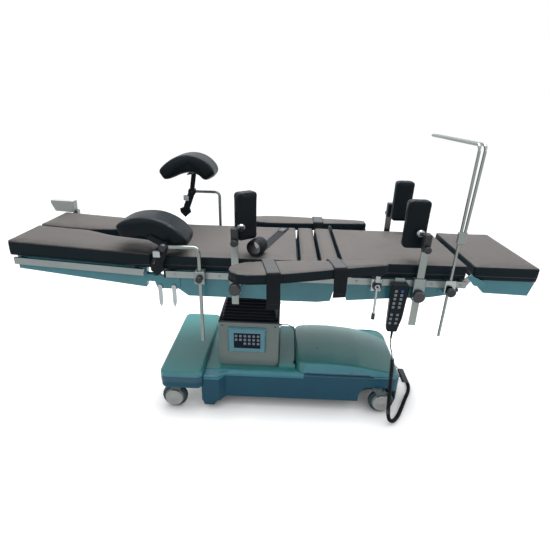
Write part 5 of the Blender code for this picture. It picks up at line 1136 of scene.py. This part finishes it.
@dataclass
class Solids:
    """Materials for the nodes that keep their own shape."""

    rail: Region = field(default_factory=lambda: sided(STEEL, y=(STEEL_SIDE, FAR)))
    plain: dict[str, Finish] = field(default_factory=lambda: {
        "brake_pedal": DARK_STEEL, "panel_bezel": BEZEL, "column_inner": STEEL, "tilt_yoke": DARK_STEEL,
        "release_lever_near": CHROME, "release_lever_far": CHROME, "screen_frame": UPRIGHT_STEEL,
        "armboard_plate_near": BLACK, "armboard_plate_far": BLACK,
    })

    def table(self) -> dict[str, tuple[Finish, list[Region]]]:
        """Each node's finish and regions."""
        deck = Region(DARK_STEEL, y=(-STEEL_SIDE, STEEL_SIDE), z=(DECK_TOP - DECK_LINE, FAR))
        rear, foot, keys = (BASE_REAR, FAR), (-FAR, BASE_FOOT), (-FAR, -0.2907)
        block = Region(PALE_GREY, x=(-FAR, -0.99), y=(0.248, FAR), z=(0.790, FAR))
        socket = (SOCKET_Z, SOCKET_OUT, SOCKET_RADIUS)
        rows = {node: (finish, []) for node, finish in self.plain.items()} | {
            "base_cover": (COVER, [
                Region(BAND, z=(-FAR, 0.2086)), Region(SKIRT, x=rear, z=(-FAR, 0.1990)),
                sided(SKIRT, x=(BASE_REAR, 0.620), y=(0.2050, FAR)),
                Region(BAND, x=foot, z=(-FAR, 0.2320)), Region(SKIRT, x=foot, z=(-FAR, 0.2120)),
            ]),
            "base_skirt": (SKIRT, [Region(BAND, x=(BASE_FOOT, BASE_REAR), z=(0.1830, FAR))]),
            "column_housing": (HOUSING, [Region(RIM, z=(0.4525, FAR))]),
            "keypad": (PANEL, [Region(KEY, y=(-FAR, -0.1814))]),
            "seat_frame": (TEAL, [deck, self.rail, knob_at(-0.050, *socket, -1)]),
            "back_frame": (TEAL, [deck, self.rail, knob_at(0.732, *socket, -1), knob_at(0.712, *socket, 1)]),
            "head_frame": (TEAL, [Region(STEEL, x=(1.232, FAR))]),
            "leg_frame_near": (TEAL, [self.rail]),
            "leg_frame_far": (TEAL, [self.rail, block]),
            "screen_clamp": (CHROME, [
                knob_at(0.857, 0.7207, CLAMP_OUT, 0.0215, -1), Region(BLACK, x=(0.8795, FAR))
            ]),
            "armboard_clamp": (CHROME, [knob_at(0.549, CLAMP_Z, CLAMP_OUT, 0.021, -1)]),
            "clamp_lever": (CHROME, [Region(BLACK, z=(-FAR, 0.6075))]),
            "handset": (BLACK, [
                Region(KEY, y=keys, z=(0.54, FAR)), Region(BLUE_KEY, x=(0.656, FAR), y=keys, z=(0.7, FAR)),
                Region(STEEL, z=(0.7395, FAR)),
            ]),
        }
        for name, x, y in CASTORS:
            hub = Region(HUB, y=(y - 0.02, y + 0.02), centre=(x, y, WHEEL_HIGH), radius=0.0475)
            rows[f"castor_{name}_wheel"] = (TYRE, [hub])
            rows[f"castor_{name}_fork"] = (GREY_PLASTIC, [])
        for side, sign, top in (("near", -1, 0.868), ("far", 1, 0.985)):
            black = Region(BLACK, centre=(-0.345, 0.0, top), radius=0.022)
            rows["knee_rod_" + side] = (UPRIGHT_STEEL, [black])
            lug = Region(CHROME, x=(-0.394, -0.364), z=(top - 0.049, top - 0.022))
            rows["knee_bracket_" + side] = (BLACK, [lug])
            rows["knee_clamp_" + side] = (STEEL, [knob_at(-0.200, CLAMP_Z, CLAMP_OUT, 0.017, sign)])
        for key in ("left", "right", "far"):
            grip = sided(BLACK, y=(GRIP_IN, FAR), z=(GRIP_LOW, GRIP_TOP))
            ball = sided(CHROME, y=(-FAR, GRIP_IN), z=(GRIP_LOW, FAR))
            rows["support_post_" + key] = (UPRIGHT_STEEL, [grip, ball])
        return rows

    def build(self) -> None:
        """Dresses the nodes."""
        for name, (finish, regions) in self.table().items():
            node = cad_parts[name]
            node.data.materials.clear()
            node.data.materials.append(material_of("look_" + name, finish, regions))
            LOG.info("node %s dressed, %d regions", name, len(regions))


# ---------------------------------------------------------------- column


@dataclass
class Column:
    """The pleated bellows over the lifting column and the small parts of the housing."""

    low: float = 0.4523
    top: float = 0.5894
    low_half: Span = (0.138, 0.158)
    top_half: Span = (0.104, 0.117)
    pleats: int = 9
    fold: float = 0.010
    corner: float = 0.020
    wall: float = 0.0016
    housing_front: float = -0.1700
    housing_side: float = 0.1470

    def ring_halves(self) -> list[tuple[float, float, float]]:
        """Height and half sizes of each edge of the pleats, from the foot up."""
        rings = []
        steps = 2 * self.pleats
        for k in range(steps + 1):
            share = k / steps
            dip = 0.0 if k % 2 == 0 else self.fold
            halves = [a + (b - a) * share - dip for a, b in zip(self.low_half, self.top_half)]
            rings.append((self.low + (self.top - self.low) * share, *halves))
        return rings

    def bellows(self) -> None:
        """Pulls the pleats up out of a plane, opens both ends and gives them a wall."""
        rings = self.ring_halves()
        deselect()
        z, a, b = rings[0]
        bpy.ops.mesh.primitive_plane_add(size=1.0, location=(0.0, 0.0, z))
        obj = settle("pleated_bellows")
        with editing(obj):
            bpy.ops.transform.resize(value=(2 * a, 2 * b, 1.0), center_override=(0.0, 0.0, z))
            bpy.ops.mesh.bevel(offset=self.corner, segments=4, affect="VERTICES")
            bpy.ops.mesh.select_all(action="SELECT")
            for (z0, a0, b0), (z1, a1, b1) in zip(rings, rings[1:]):
                pull((0.0, 0.0, z1 - z0), (a1 / a0, b1 / b0, 1.0), (0.0, 0.0, z1))
            bpy.ops.mesh.select_all(action="DESELECT")
            shape = bmesh.from_edit_mesh(obj.data)
            for face in shape.faces:
                face.select = abs(face.normal.z) > 0.99 and len(face.verts) > 4
            bmesh.update_edit_mesh(obj.data)
            bpy.ops.mesh.delete(type="FACE")
        modify(obj, "BEVEL", width=0.0014, segments=2, limit_method="ANGLE", angle_limit=math.radians(40))
        modify(obj, "SOLIDIFY", thickness=self.wall, offset=-1.0)
        finish_piece(obj, RUBBER, None, degrees=50)
        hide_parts("bellows")
        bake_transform(obj)

    def screws(self) -> None:
        """Round-headed screws on the housing's front and right side."""
        head = [(0.0042, 0.0), (0.0042, 0.0008), (0.0034, 0.0018), (0.0018, 0.0022), (0.0017, 0.0010)]
        front = [
            add_stepped("screw", (x, self.housing_front, 0.436), NEARWARD, head, 16) for x in (-0.130, 0.127)
        ]
        corners = [(y, z) for y in (-0.12, 0.12) for z in (0.26, 0.42)]
        side = [add_stepped("screw", (self.housing_side, y, z), ALONG, head, 16) for y, z in corners]
        finish_piece(join("housing_screws", front + side), DARK_STEEL, "base")

    def build(self) -> None:
        """Makes the bellows and the screws."""
        self.bellows()
        self.screws()


@dataclass
class Dome:
    """The smooth rear cover of the base, raised along the front edge and falling to the rear end."""

    low: float = 0.2093
    x_low: float = 0.2345
    x_high: float = 0.7440
    half: float = 0.2235
    marks: tuple[Span, ...] = (
        (0.2345, 0.262), (0.340, 0.268), (0.430, 0.268), (0.550, 0.257), (0.660, 0.236), (0.744, 0.216)
    )
    crown: float = 0.010
    fall: float = 0.036
    wall_share: float = 70.0
    corner_share: float = 9.0
    crowding: float = 2.6
    wall: float = 0.0025
    flank: Span = (0.2170, FAR)

    def height(self, x: np.ndarray, y: np.ndarray) -> np.ndarray:
        """Height of the top over a place in the plan."""
        top = np.interp(x, [a for a, _ in self.marks], [b for _, b in self.marks])
        back = np.clip((y + 0.06) / (self.half + 0.06), 0.0, 1.0)
        return top - self.fall * back**2 + self.crown * (1.0 - (y / self.half) ** 2)

    def build(self) -> None:
        """Shapes a grid into the cover and gives it a wall."""
        deselect()
        bpy.ops.mesh.primitive_grid_add(x_subdivisions=90, y_subdivisions=72, size=2.0)
        obj = settle("rear_cover_shell")
        flat = rows_of(obj)
        reach = np.max(np.abs(flat[:, :2]), axis=1)
        way = np.where(reach[:, None] > 0.0, flat[:, :2] / np.maximum(reach, 1e-9)[:, None], 1.0)
        round_off = (np.abs(way) ** self.corner_share).sum(axis=1) ** (-1.0 / self.corner_share)
        ring = 1.0 - (1.0 - reach) ** self.crowding
        plan = way * (round_off * ring)[:, None]
        x = (self.x_low + self.x_high) / 2 + plan[:, 0] * (self.x_high - self.x_low) / 2
        y = plan[:, 1] * self.half
        rise = (1.0 - ring**self.wall_share) ** (1.0 / 3.0)
        z = self.low + (self.height(x, y) - self.low) * rise
        set_points(obj, np.column_stack([x, y, z]))
        modify(obj, "SMOOTH", factor=0.5, iterations=2)
        modify(obj, "SOLIDIFY", thickness=self.wall, offset=-1.0)
        sides = [sided(BAND, y=self.flank), sided(SKIRT, x=(0.285, 0.600), y=self.flank, z=(-FAR, 0.2170))]
        finish_piece(obj, DOME, "base", sides, 70)
        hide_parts("rear_dome")


# ---------------------------------------------------------------- straps


@dataclass
class Ribbon:
    """A flat woven band along a line of points."""

    name: str
    points: Sequence[Vector]
    across: Vector
    wide: float
    thick: float = 0.0016

    def build(self) -> bpy.types.Object:
        """Pulls the band along its points and gives it thickness and a map along its length."""
        deselect()
        bpy.ops.mesh.primitive_plane_add(size=1.0)
        obj = settle(self.name)
        with editing(obj):
            shape = bmesh.from_edit_mesh(obj.data)
            shape.verts.ensure_lookup_table()
            bmesh.ops.delete(shape, geom=shape.verts[2:], context="VERTS")
            for vert, way in zip(shape.verts, (-0.5, 0.5)):
                vert.co = self.points[0] + self.across.normalized() * self.wide * way
            bmesh.update_edit_mesh(obj.data)
            for a, b in zip(self.points, self.points[1:]):
                bpy.ops.mesh.extrude_edges_move(TRANSFORM_OT_translate={"value": b - a})
        self.map_band(obj)
        modify(obj, "SUBSURF", levels=1, render_levels=1, subdivision_type="SIMPLE")
        modify(obj, "SOLIDIFY", thickness=self.thick, offset=0.0)
        sharp = {"limit_method": "ANGLE", "angle_limit": math.radians(60)}
        return modify(obj, "BEVEL", width=self.thick * 0.3, segments=1, **sharp)

    def map_band(self, obj: bpy.types.Object) -> None:
        """Writes a map of metres along and across the band."""
        walked = [0.0]
        for a, b in zip(self.points, self.points[1:]):
            walked.append(walked[-1] + (b - a).length)
        middle = np.array([tuple(p) for p in self.points])
        side = np.array(self.across.normalized())
        places = rows_of(obj)
        square = places - np.outer((places - middle[0]) @ side, side)
        nearest = np.linalg.norm(square[:, None] - middle[None], axis=2).argmin(axis=1)
        offset = (places - middle[nearest]) @ side
        for loop in obj.data.loops:
            i = loop.vertex_index
            obj.data.uv_layers[0].data[loop.index].uv = (walked[nearest[i]], offset[i])


BOARD_LONG, BOARD_BACK, BOARD_HALF, BOARD_THICK = 0.650, 0.030, 0.074, 0.040
BOARD_SHARES = (
    (0.00, 0.34), (0.03, 0.46), (0.12, 0.52), (0.30, 0.64), (0.48, 0.82), (0.66, 0.97), (0.80, 1.00),
    (0.90, 0.93), (0.96, 0.72), (0.99, 0.42),
)


@dataclass
class Strap:
    """A strap laid over an armboard, hanging on both sides, with its hook patch and its sewn ends; the
    patch's paler colour also paints the light on the strap's top.
    """

    node: str
    board: Board
    along: float
    outer: float
    inner: float
    sign: int
    wide: float = 0.054
    stitch_pitch: float = 0.0042

    def half(self) -> float:
        """Half the board's width at the strap, with room for the strap to pass."""
        shares = [(u * BOARD_LONG - BOARD_BACK, w * BOARD_HALF) for u, w in BOARD_SHARES]
        spots = [self.along + way * self.wide / 2 for way in (-1, 1)]
        lengths, widths = zip(*shares)
        return max(float(np.interp(spot, lengths, widths)) for spot in spots) + 0.0009

    def path(self) -> list[Vector]:
        """The band's middle line in the board's axes, from the outer end over the board to the inner one."""
        half = self.half()
        marks = [
            (half + 0.004, -self.outer), (half + 0.0075, -self.outer * 0.7),
            (half + 0.002, -self.outer * 0.42), (half + 0.0014, -BOARD_THICK), (half + 0.0012, -0.018),
            (half - 0.0006, -0.004), (half - 0.008, 0.0008), (half - 0.028, 0.0014), (0.0, 0.0016),
            (0.028 - half, 0.0014), (0.008 - half, 0.0008), (0.0006 - half, -0.004), (-half - 0.0012, -0.018),
            (-half - 0.0014, min(-0.026, -self.inner * 0.6)), (-half - 0.003, -self.inner),
        ]
        route = [Vector((0.0, self.sign * y, z)) for y, z in marks]
        return spline_points(route, 5)

    def build(self) -> None:
        """Makes the strap, its patch and its stitches."""
        matrix = self.board.matrix() @ Matrix.Translation(Vector((self.along, 0.0, 0.0)))
        line = self.path()
        band = Ribbon(self.node + "_band", line, ALONG, self.wide).build()
        total = length_of(line)
        spots = [((k - 4) * self.stitch_pitch, total * share) for share in (0.06, 0.94) for k in range(9)]
        parts = [self.stitch(x, line, distance) for x, distance in spots]
        finish_piece(placed(band, matrix), WEBBING, self.board.body, degrees=40)
        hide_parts(self.node)
        thread = placed(join(self.node + "_stitches", parts), matrix)
        finish_piece(thread, GREY_PLASTIC, self.board.body)
        # The patch on the strap's top is hook cloth, paler to paint the light that falls on the top.
        top = [p + UP * 0.0012 for p in line if p.z > -0.003]
        patch = Ribbon(self.node + "_patch", top[2:-2], ALONG, self.wide * 0.86, 0.0010).build()
        finish_piece(placed(patch, matrix), HOOKS_AND_LIGHT, self.board.body, degrees=40)

    def stitch(self, x: float, line: Sequence[Vector], distance: float) -> bpy.types.Object:
        """One short thread standing a little out of the band on both faces.

        Args:
            x: Its place across the band.
            line: The band's middle line.
            distance: Its place along that line.

        Returns:
            The thread.
        """
        place, way = along_route(line, distance)
        normal = Vector((0.0, way.z, -way.y)).normalized()
        thread = [(0.0003, 0.0), (0.0007, 0.0004), (0.0007, 0.0018), (0.0003, 0.0022)]
        return add_stepped("stitch", place + ALONG * x - normal * 0.0011, normal, thread, 6)


@dataclass
class Cuff:
    """The padded wrist cuff, its webbing across the table and the slide buckle."""

    place: Vector = field(default_factory=lambda: Vector((0.037, -0.195, PAD_TOP)))
    end: Vector = field(default_factory=lambda: Vector((0.160, 0.215, PAD_TOP)))
    radius: float = 0.0342
    thick: float = 0.0040
    long: float = 0.070
    turn: float = math.radians(68)
    strap_wide: float = 0.034
    strap_thick: float = 0.0014
    web_wide: float = 0.042
    tail_wide: float = 0.028

    def build(self) -> None:
        """Makes the sleeve, its flap, the webbing and the buckle."""
        base = self.place.z + 2 * GAP
        centre = Vector((self.place.x, self.place.y, base + self.radius))
        axis = Vector((math.cos(self.turn), math.sin(self.turn), 0.0))
        deselect()
        bpy.ops.mesh.primitive_cylinder_add(
            vertices=40, radius=self.radius, depth=self.long, end_fill_type="NOTHING"
        )
        sleeve = settle("wrist_cuff_sleeve")
        modify(sleeve, "SOLIDIFY", thickness=self.thick, offset=-1.0)
        sharp = {"limit_method": "ANGLE", "angle_limit": math.radians(50)}
        modify(sleeve, "BEVEL", width=self.thick * 0.42, segments=3, **sharp)
        turned = Matrix((UP.cross(axis).normalized(), UP, axis)).transposed().to_4x4()
        matrix = Matrix.Translation(centre) @ turned
        finish_piece(placed(sleeve, matrix), DARK_HIDE, "seat", degrees=50)
        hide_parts("wrist_cuff")
        out = self.radius + 0.0008
        angles = [math.radians(d) for d in range(-20, 250, 6)]
        rim = [Vector((math.cos(a) * out, math.sin(a) * out, 0.0)) for a in angles]
        flap = Ribbon("wrist_cuff_strap", rim, UP, self.strap_wide, self.strap_thick).build()
        finish_piece(placed(flap, matrix), WEBBING, "seat", degrees=40)
        way = (self.end - self.place).normalized()
        start, stop = (Vector((p.x, p.y, base + 0.001)) for p in (self.place, self.end))
        line = [start.lerp(stop, k / 60) + UP * (0.0007 * math.sin(k * 0.55) ** 2) for k in range(61)]
        web = Ribbon("wrist_cuff_webbing", line, Vector((-way.y, way.x, 0.0)), self.web_wide).build()
        finish_piece(web, WEBBING, "seat", degrees=40)
        self.buckle(stop - way * 0.055, way)

    def buckle(self, place: Vector, way: Vector) -> None:
        """A slide buckle: a frame with a middle bar, on the webbing.

        Args:
            place: The buckle's middle, on the webbing.
            way: The webbing's direction.
        """
        across = Vector((-way.y, way.x, 0.0))
        matrix = Matrix.Translation(place) @ Matrix((way, across, UP)).transposed().to_4x4()
        spans = [((x - 0.003, -0.019, 0.002), (x + 0.003, 0.019, 0.0062)) for x in (-0.017, 0.0, 0.017)]
        spans += [((-0.020, y - 0.0025, 0.0018), (0.020, y + 0.0025, 0.0060)) for y in (-0.0175, 0.0175)]
        slide = join("webbing_buckle", [add_block("bar", low, high, 0.0012) for low, high in spans])
        modify(slide, "REMESH", mode="VOXEL", voxel_size=0.0007)
        modify(slide, "SMOOTH", factor=0.5, iterations=3)
        finish_piece(placed(slide, matrix), BLACK, "seat")
        # The tail through the buckle takes the lit copy of the webbing, a painted light.
        reach = np.linspace(-0.028, 0.030, 24)
        tail = [Vector((x, 0.0, 0.0048 + 0.0016 * math.sin((x + 0.017) * 90))) for x in reach]
        loop = Ribbon("buckle_webbing", tail, ACROSS, self.tail_wide, self.strap_thick).build()
        finish_piece(placed(loop, matrix), LIT_CLOTH, "seat", degrees=40)


# ---------------------------------------------------------------- fittings


@dataclass
class Fittings:
    """Rail end caps, spacer screws, castor covers, hub caps and dark sheets in the rear wheel pockets that
    paint the shade there.
    """

    caps: tuple[tuple[str, float, int], ...] = (("seat", -0.360, -1), ("seat", 0.385, 1), ("back", 0.425, -1))
    liner_radius: float = 0.0919
    liner_wide: float = 0.0664
    liner_x: float = 0.645
    liner_y: float = 0.215
    liner_cut: float = 0.219
    liner_high: float = 0.0888

    def rail_caps(self) -> None:
        """Black end caps on the level rails of the seat and back sections."""
        for section in ("seat", "back"):
            pieces = []
            spots = [(x, way, side) for body, x, way in self.caps if body == section for side in (-1, 1)]
            for x, way, side in spots:
                y0, y1 = sorted((side * (RAIL_IN - 0.0010), side * (RAIL_OUT + 0.0010)))
                x0, x1 = sorted((x - way * 0.007, x + way * 0.0022))
                low, high = (x0, y0, RAIL_LOW - 0.001), (x1, y1, RAIL_TOP + 0.001)
                pieces.append(add_block("cap", low, high, 0.0012))
            finish_piece(join("rail_caps_" + section, pieces), BLACK, section)

    def spacer_screws(self) -> None:
        """Socket-head screws through the rails."""
        head = [(0.0058, 0.0), (0.0058, 0.0018), (0.0050, 0.0024), (0.0028, 0.0024), (0.0026, 0.0006)]
        high = (RAIL_LOW + RAIL_TOP) / 2
        for body, along in (("seat", (-0.315, -0.120, 0.060, 0.330)), ("back", (0.470, 0.610, 0.790, 0.915))):
            screws = [
                add_stepped("screw", (x, side * (RAIL_OUT - 0.0002), high), (0.0, side, 0.0), head, 18)
                for x in along for side in (-1, 1)
            ]
            finish_piece(join("rail_screws_" + body, screws), STEEL, body)

    def hub_caps(self) -> None:
        """A stepped cap with a bolt on both faces of every wheel."""
        cap = [
            (0.0440, 0.0), (0.0440, 0.0008), (0.0405, 0.0014), (0.0340, 0.0008), (0.0150, 0.0010),
            (0.0130, 0.0030), (0.0080, 0.0034),
        ]
        for name, x, _ in CASTORS:
            low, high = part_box(f"castor_{name}_wheel")
            spots = ((low[1] + 0.0001, NEARWARD), (high[1] - 0.0001, ACROSS))
            faces = [add_stepped("hub", (x, y, WHEEL_HIGH), way, cap, 36) for y, way in spots]
            finish_piece(join(f"hub_cap_{name}", faces), HUB, f"castor_{name}_wheel_body")

    def castor_covers(self) -> None:
        """A pale dished cover on the outer leg of each castor's fork."""
        dish = [
            (0.0420, -0.0004), (0.0436, 0.0012), (0.0436, 0.0030), (0.0410, 0.0046), (0.0360, 0.0040),
            (0.0150, 0.0034), (0.0120, 0.0050), (0.0060, 0.0054),
        ]
        for name, x, y in CASTORS:
            low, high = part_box(f"castor_{name}_fork")
            face, way = (low[1], NEARWARD) if y < 0 else (high[1], ACROSS)
            disc = add_stepped("castor_cover_" + name, (x, face, WHEEL_HIGH), way, dish, 40)
            finish_piece(disc, HUB, f"castor_{name}_swivel_body")

    def pocket_shades(self) -> None:
        """Painted shade: dark sheets behind the rear wheels, inside their round pockets, where the floor lies
        in shadow.
        """
        for name, side in (("near", -1), ("far", 1)):
            deselect()
            bpy.ops.mesh.primitive_cylinder_add(
                vertices=64, radius=self.liner_radius, depth=self.liner_wide, end_fill_type="NOTHING",
                location=(self.liner_x, side * self.liner_y, self.liner_high),
            )
            obj = settle("wheel_liner_" + name)
            with editing(obj, False):
                middle = (0.0, side * self.liner_cut, 0.0)
                bpy.ops.mesh.bisect(plane_co=middle, plane_no=(0.0, side, 0.0), clear_outer=True)
            modify(obj, "SOLIDIFY", thickness=0.0010, offset=-1.0)
            # The sheet takes the dark rim finish as painted shade.
            finish_piece(obj, RIM, "base")

    def build(self) -> None:
        """Makes all of them."""
        self.castor_covers()
        self.pocket_shades()
        self.rail_caps()
        self.spacer_screws()
        self.hub_caps()


# ---------------------------------------------------------------- room


@dataclass
class Room:
    """Camera, lamps, floor and backdrop."""

    place: Vec = (0.15, -1.8149, 1.4191)
    yaw: float = math.radians(1.1157)
    pitch: float = math.radians(23.3023)
    roll: float = math.radians(1.684)
    focal_share: float = 393.96 / 550.0
    sensor: float = 36.0
    shade_reach: float = 0.16
    shade_power: float = 1.5
    floor_glow: float = 2.30
    glow_share: float = 0.38

    def camera(self) -> None:
        """The photograph's viewpoint."""
        level = math.cos(self.pitch)
        sight = Vector((-math.sin(self.yaw) * level, math.cos(self.yaw) * level, -math.sin(self.pitch)))
        right = Vector((math.cos(self.yaw), math.sin(self.yaw), 0.0))
        down = sight.cross(right)
        across = right * math.cos(self.roll) - down * math.sin(self.roll)
        below = right * math.sin(self.roll) + down * math.cos(self.roll)
        data = bpy.data.cameras.new("photo_camera")
        data.sensor_width = self.sensor
        data.lens = self.sensor * self.focal_share
        data.clip_start = 0.05
        camera = bpy.data.objects.new("photo_camera", data)
        turned = Matrix((across, -below, -sight)).transposed().to_4x4()
        camera.matrix_world = Matrix.Translation(Vector(self.place)) @ turned
        bpy.context.scene.collection.objects.link(camera)
        bpy.context.scene.camera = camera

    def lamps(self) -> None:
        """A broad lamp overhead and two weaker ones at the sides."""
        for name, place, size, power, aim in (
            ("over", (0.2, 0.5, 3.0), 2.6, 130.0, (0.1, 0.0, 0.5)),
            ("front", (-1.6, -2.8, 2.4), 1.8, 15.0, (0.0, 0.0, 0.5)),
            ("side", (2.8, -0.8, 1.8), 1.4, 8.0, (0.2, 0.0, 0.5)),
        ):
            data = bpy.data.lights.new(name, "AREA")
            data.shape = "DISK"
            data.size = size
            data.energy = power
            lamp = bpy.data.objects.new(name, data)
            lamp.location = place
            lamp.rotation_euler = (Vector(aim) - Vector(place)).to_track_quat("-Z", "Y").to_euler()
            bpy.context.scene.collection.objects.link(lamp)

    def seen(self, graph: Graph) -> Socket:
        """One for rays that show the background: camera, glossy and transmission rays."""
        path = graph.add("ShaderNodeLightPath")
        both = graph.math("MAXIMUM", path.outputs["Is Camera Ray"], path.outputs["Is Glossy Ray"])
        return graph.math("MAXIMUM", both, path.outputs["Is Transmission Ray"])

    def world(self) -> None:
        """White where it is seen, and a plain pale light elsewhere."""
        world = bpy.data.worlds.new("room_light")
        bpy.context.scene.world = world
        world.use_nodes = True
        graph = Graph(world.node_tree)
        graph.tree.nodes.clear()
        plain, white = graph.add("ShaderNodeBackground"), graph.add("ShaderNodeBackground")
        graph.fill(plain, {"Color": (0.90, 0.97, 1.0, 1.0), "Strength": 0.30})
        graph.fill(white, {"Color": (1.0, 1.0, 1.0, 1.0), "Strength": 1.0})
        mixed, output = graph.add("ShaderNodeMixShader"), graph.add("ShaderNodeOutputWorld")
        for socket, value in zip(mixed.inputs, (self.seen(graph), plain.outputs[0], white.outputs[0])):
            graph.feed(socket, value)
        graph.feed(output.inputs[0], mixed.outputs[0])

    def floor(self) -> None:
        """A pale floor that keeps the table's shadow."""
        deselect()
        bpy.ops.mesh.primitive_plane_add(size=30.0, location=(0.0, 0.0, -0.0004))
        floor = settle("pale_floor")
        material = bpy.data.materials.new("pale_floor")
        material.use_nodes = True
        graph = Graph(material.node_tree)
        graph.tree.nodes.clear()
        matt, glow = graph.add("ShaderNodeBsdfDiffuse"), graph.add("ShaderNodeEmission")
        path = graph.add("ShaderNodeLightPath")
        near = graph.add("ShaderNodeAmbientOcclusion", samples=8)
        near.inputs["Distance"].default_value = self.shade_reach
        near_share = graph.math("POWER", near.outputs["AO"], self.shade_power)
        graph.feed(glow.inputs[1], graph.math("MULTIPLY", near_share, self.floor_glow))
        tone = graph.mix(path.outputs["Is Camera Ray"], (0.30, 0.33, 0.33), (0.90, 0.90, 0.90))
        graph.feed(matt.inputs[0], tone)
        mixed, output = graph.add("ShaderNodeMixShader"), graph.add("ShaderNodeOutputMaterial")
        share = graph.math("MULTIPLY", self.seen(graph), self.glow_share)
        for socket, value in zip(mixed.inputs, (share, matt.outputs[0], glow.outputs[0])):
            graph.feed(socket, value)
        graph.feed(output.inputs[0], mixed.outputs[0])
        floor.data.materials.append(material)

    def build(self) -> None:
        """Sets the room up."""
        bpy.context.scene.view_settings.view_transform = "Standard"
        self.camera()
        self.lamps()
        self.world()
        self.floor()


def main() -> None:
    """Builds the room and every sub-assembly in order."""
    logging.basicConfig(level=logging.INFO, format="%(name)s: %(message)s")
    straps = [
        Strap("armboard_strap_near_1", BOARDS["near"], 0.455, 0.150, 0.110, 1),
        Strap("armboard_strap_near_2", BOARDS["near"], 0.185, 0.125, 0.030, 1),
        Strap("armboard_strap_far", BOARDS["far"], 0.240, 0.040, 0.034, -1),
    ]
    for assembly in (Room(), Cords(), Cushions(), Column(), Dome(), *straps, Cuff(), Fittings(), Solids()):
        assembly.build()


if __name__ == "__main__":
    main()
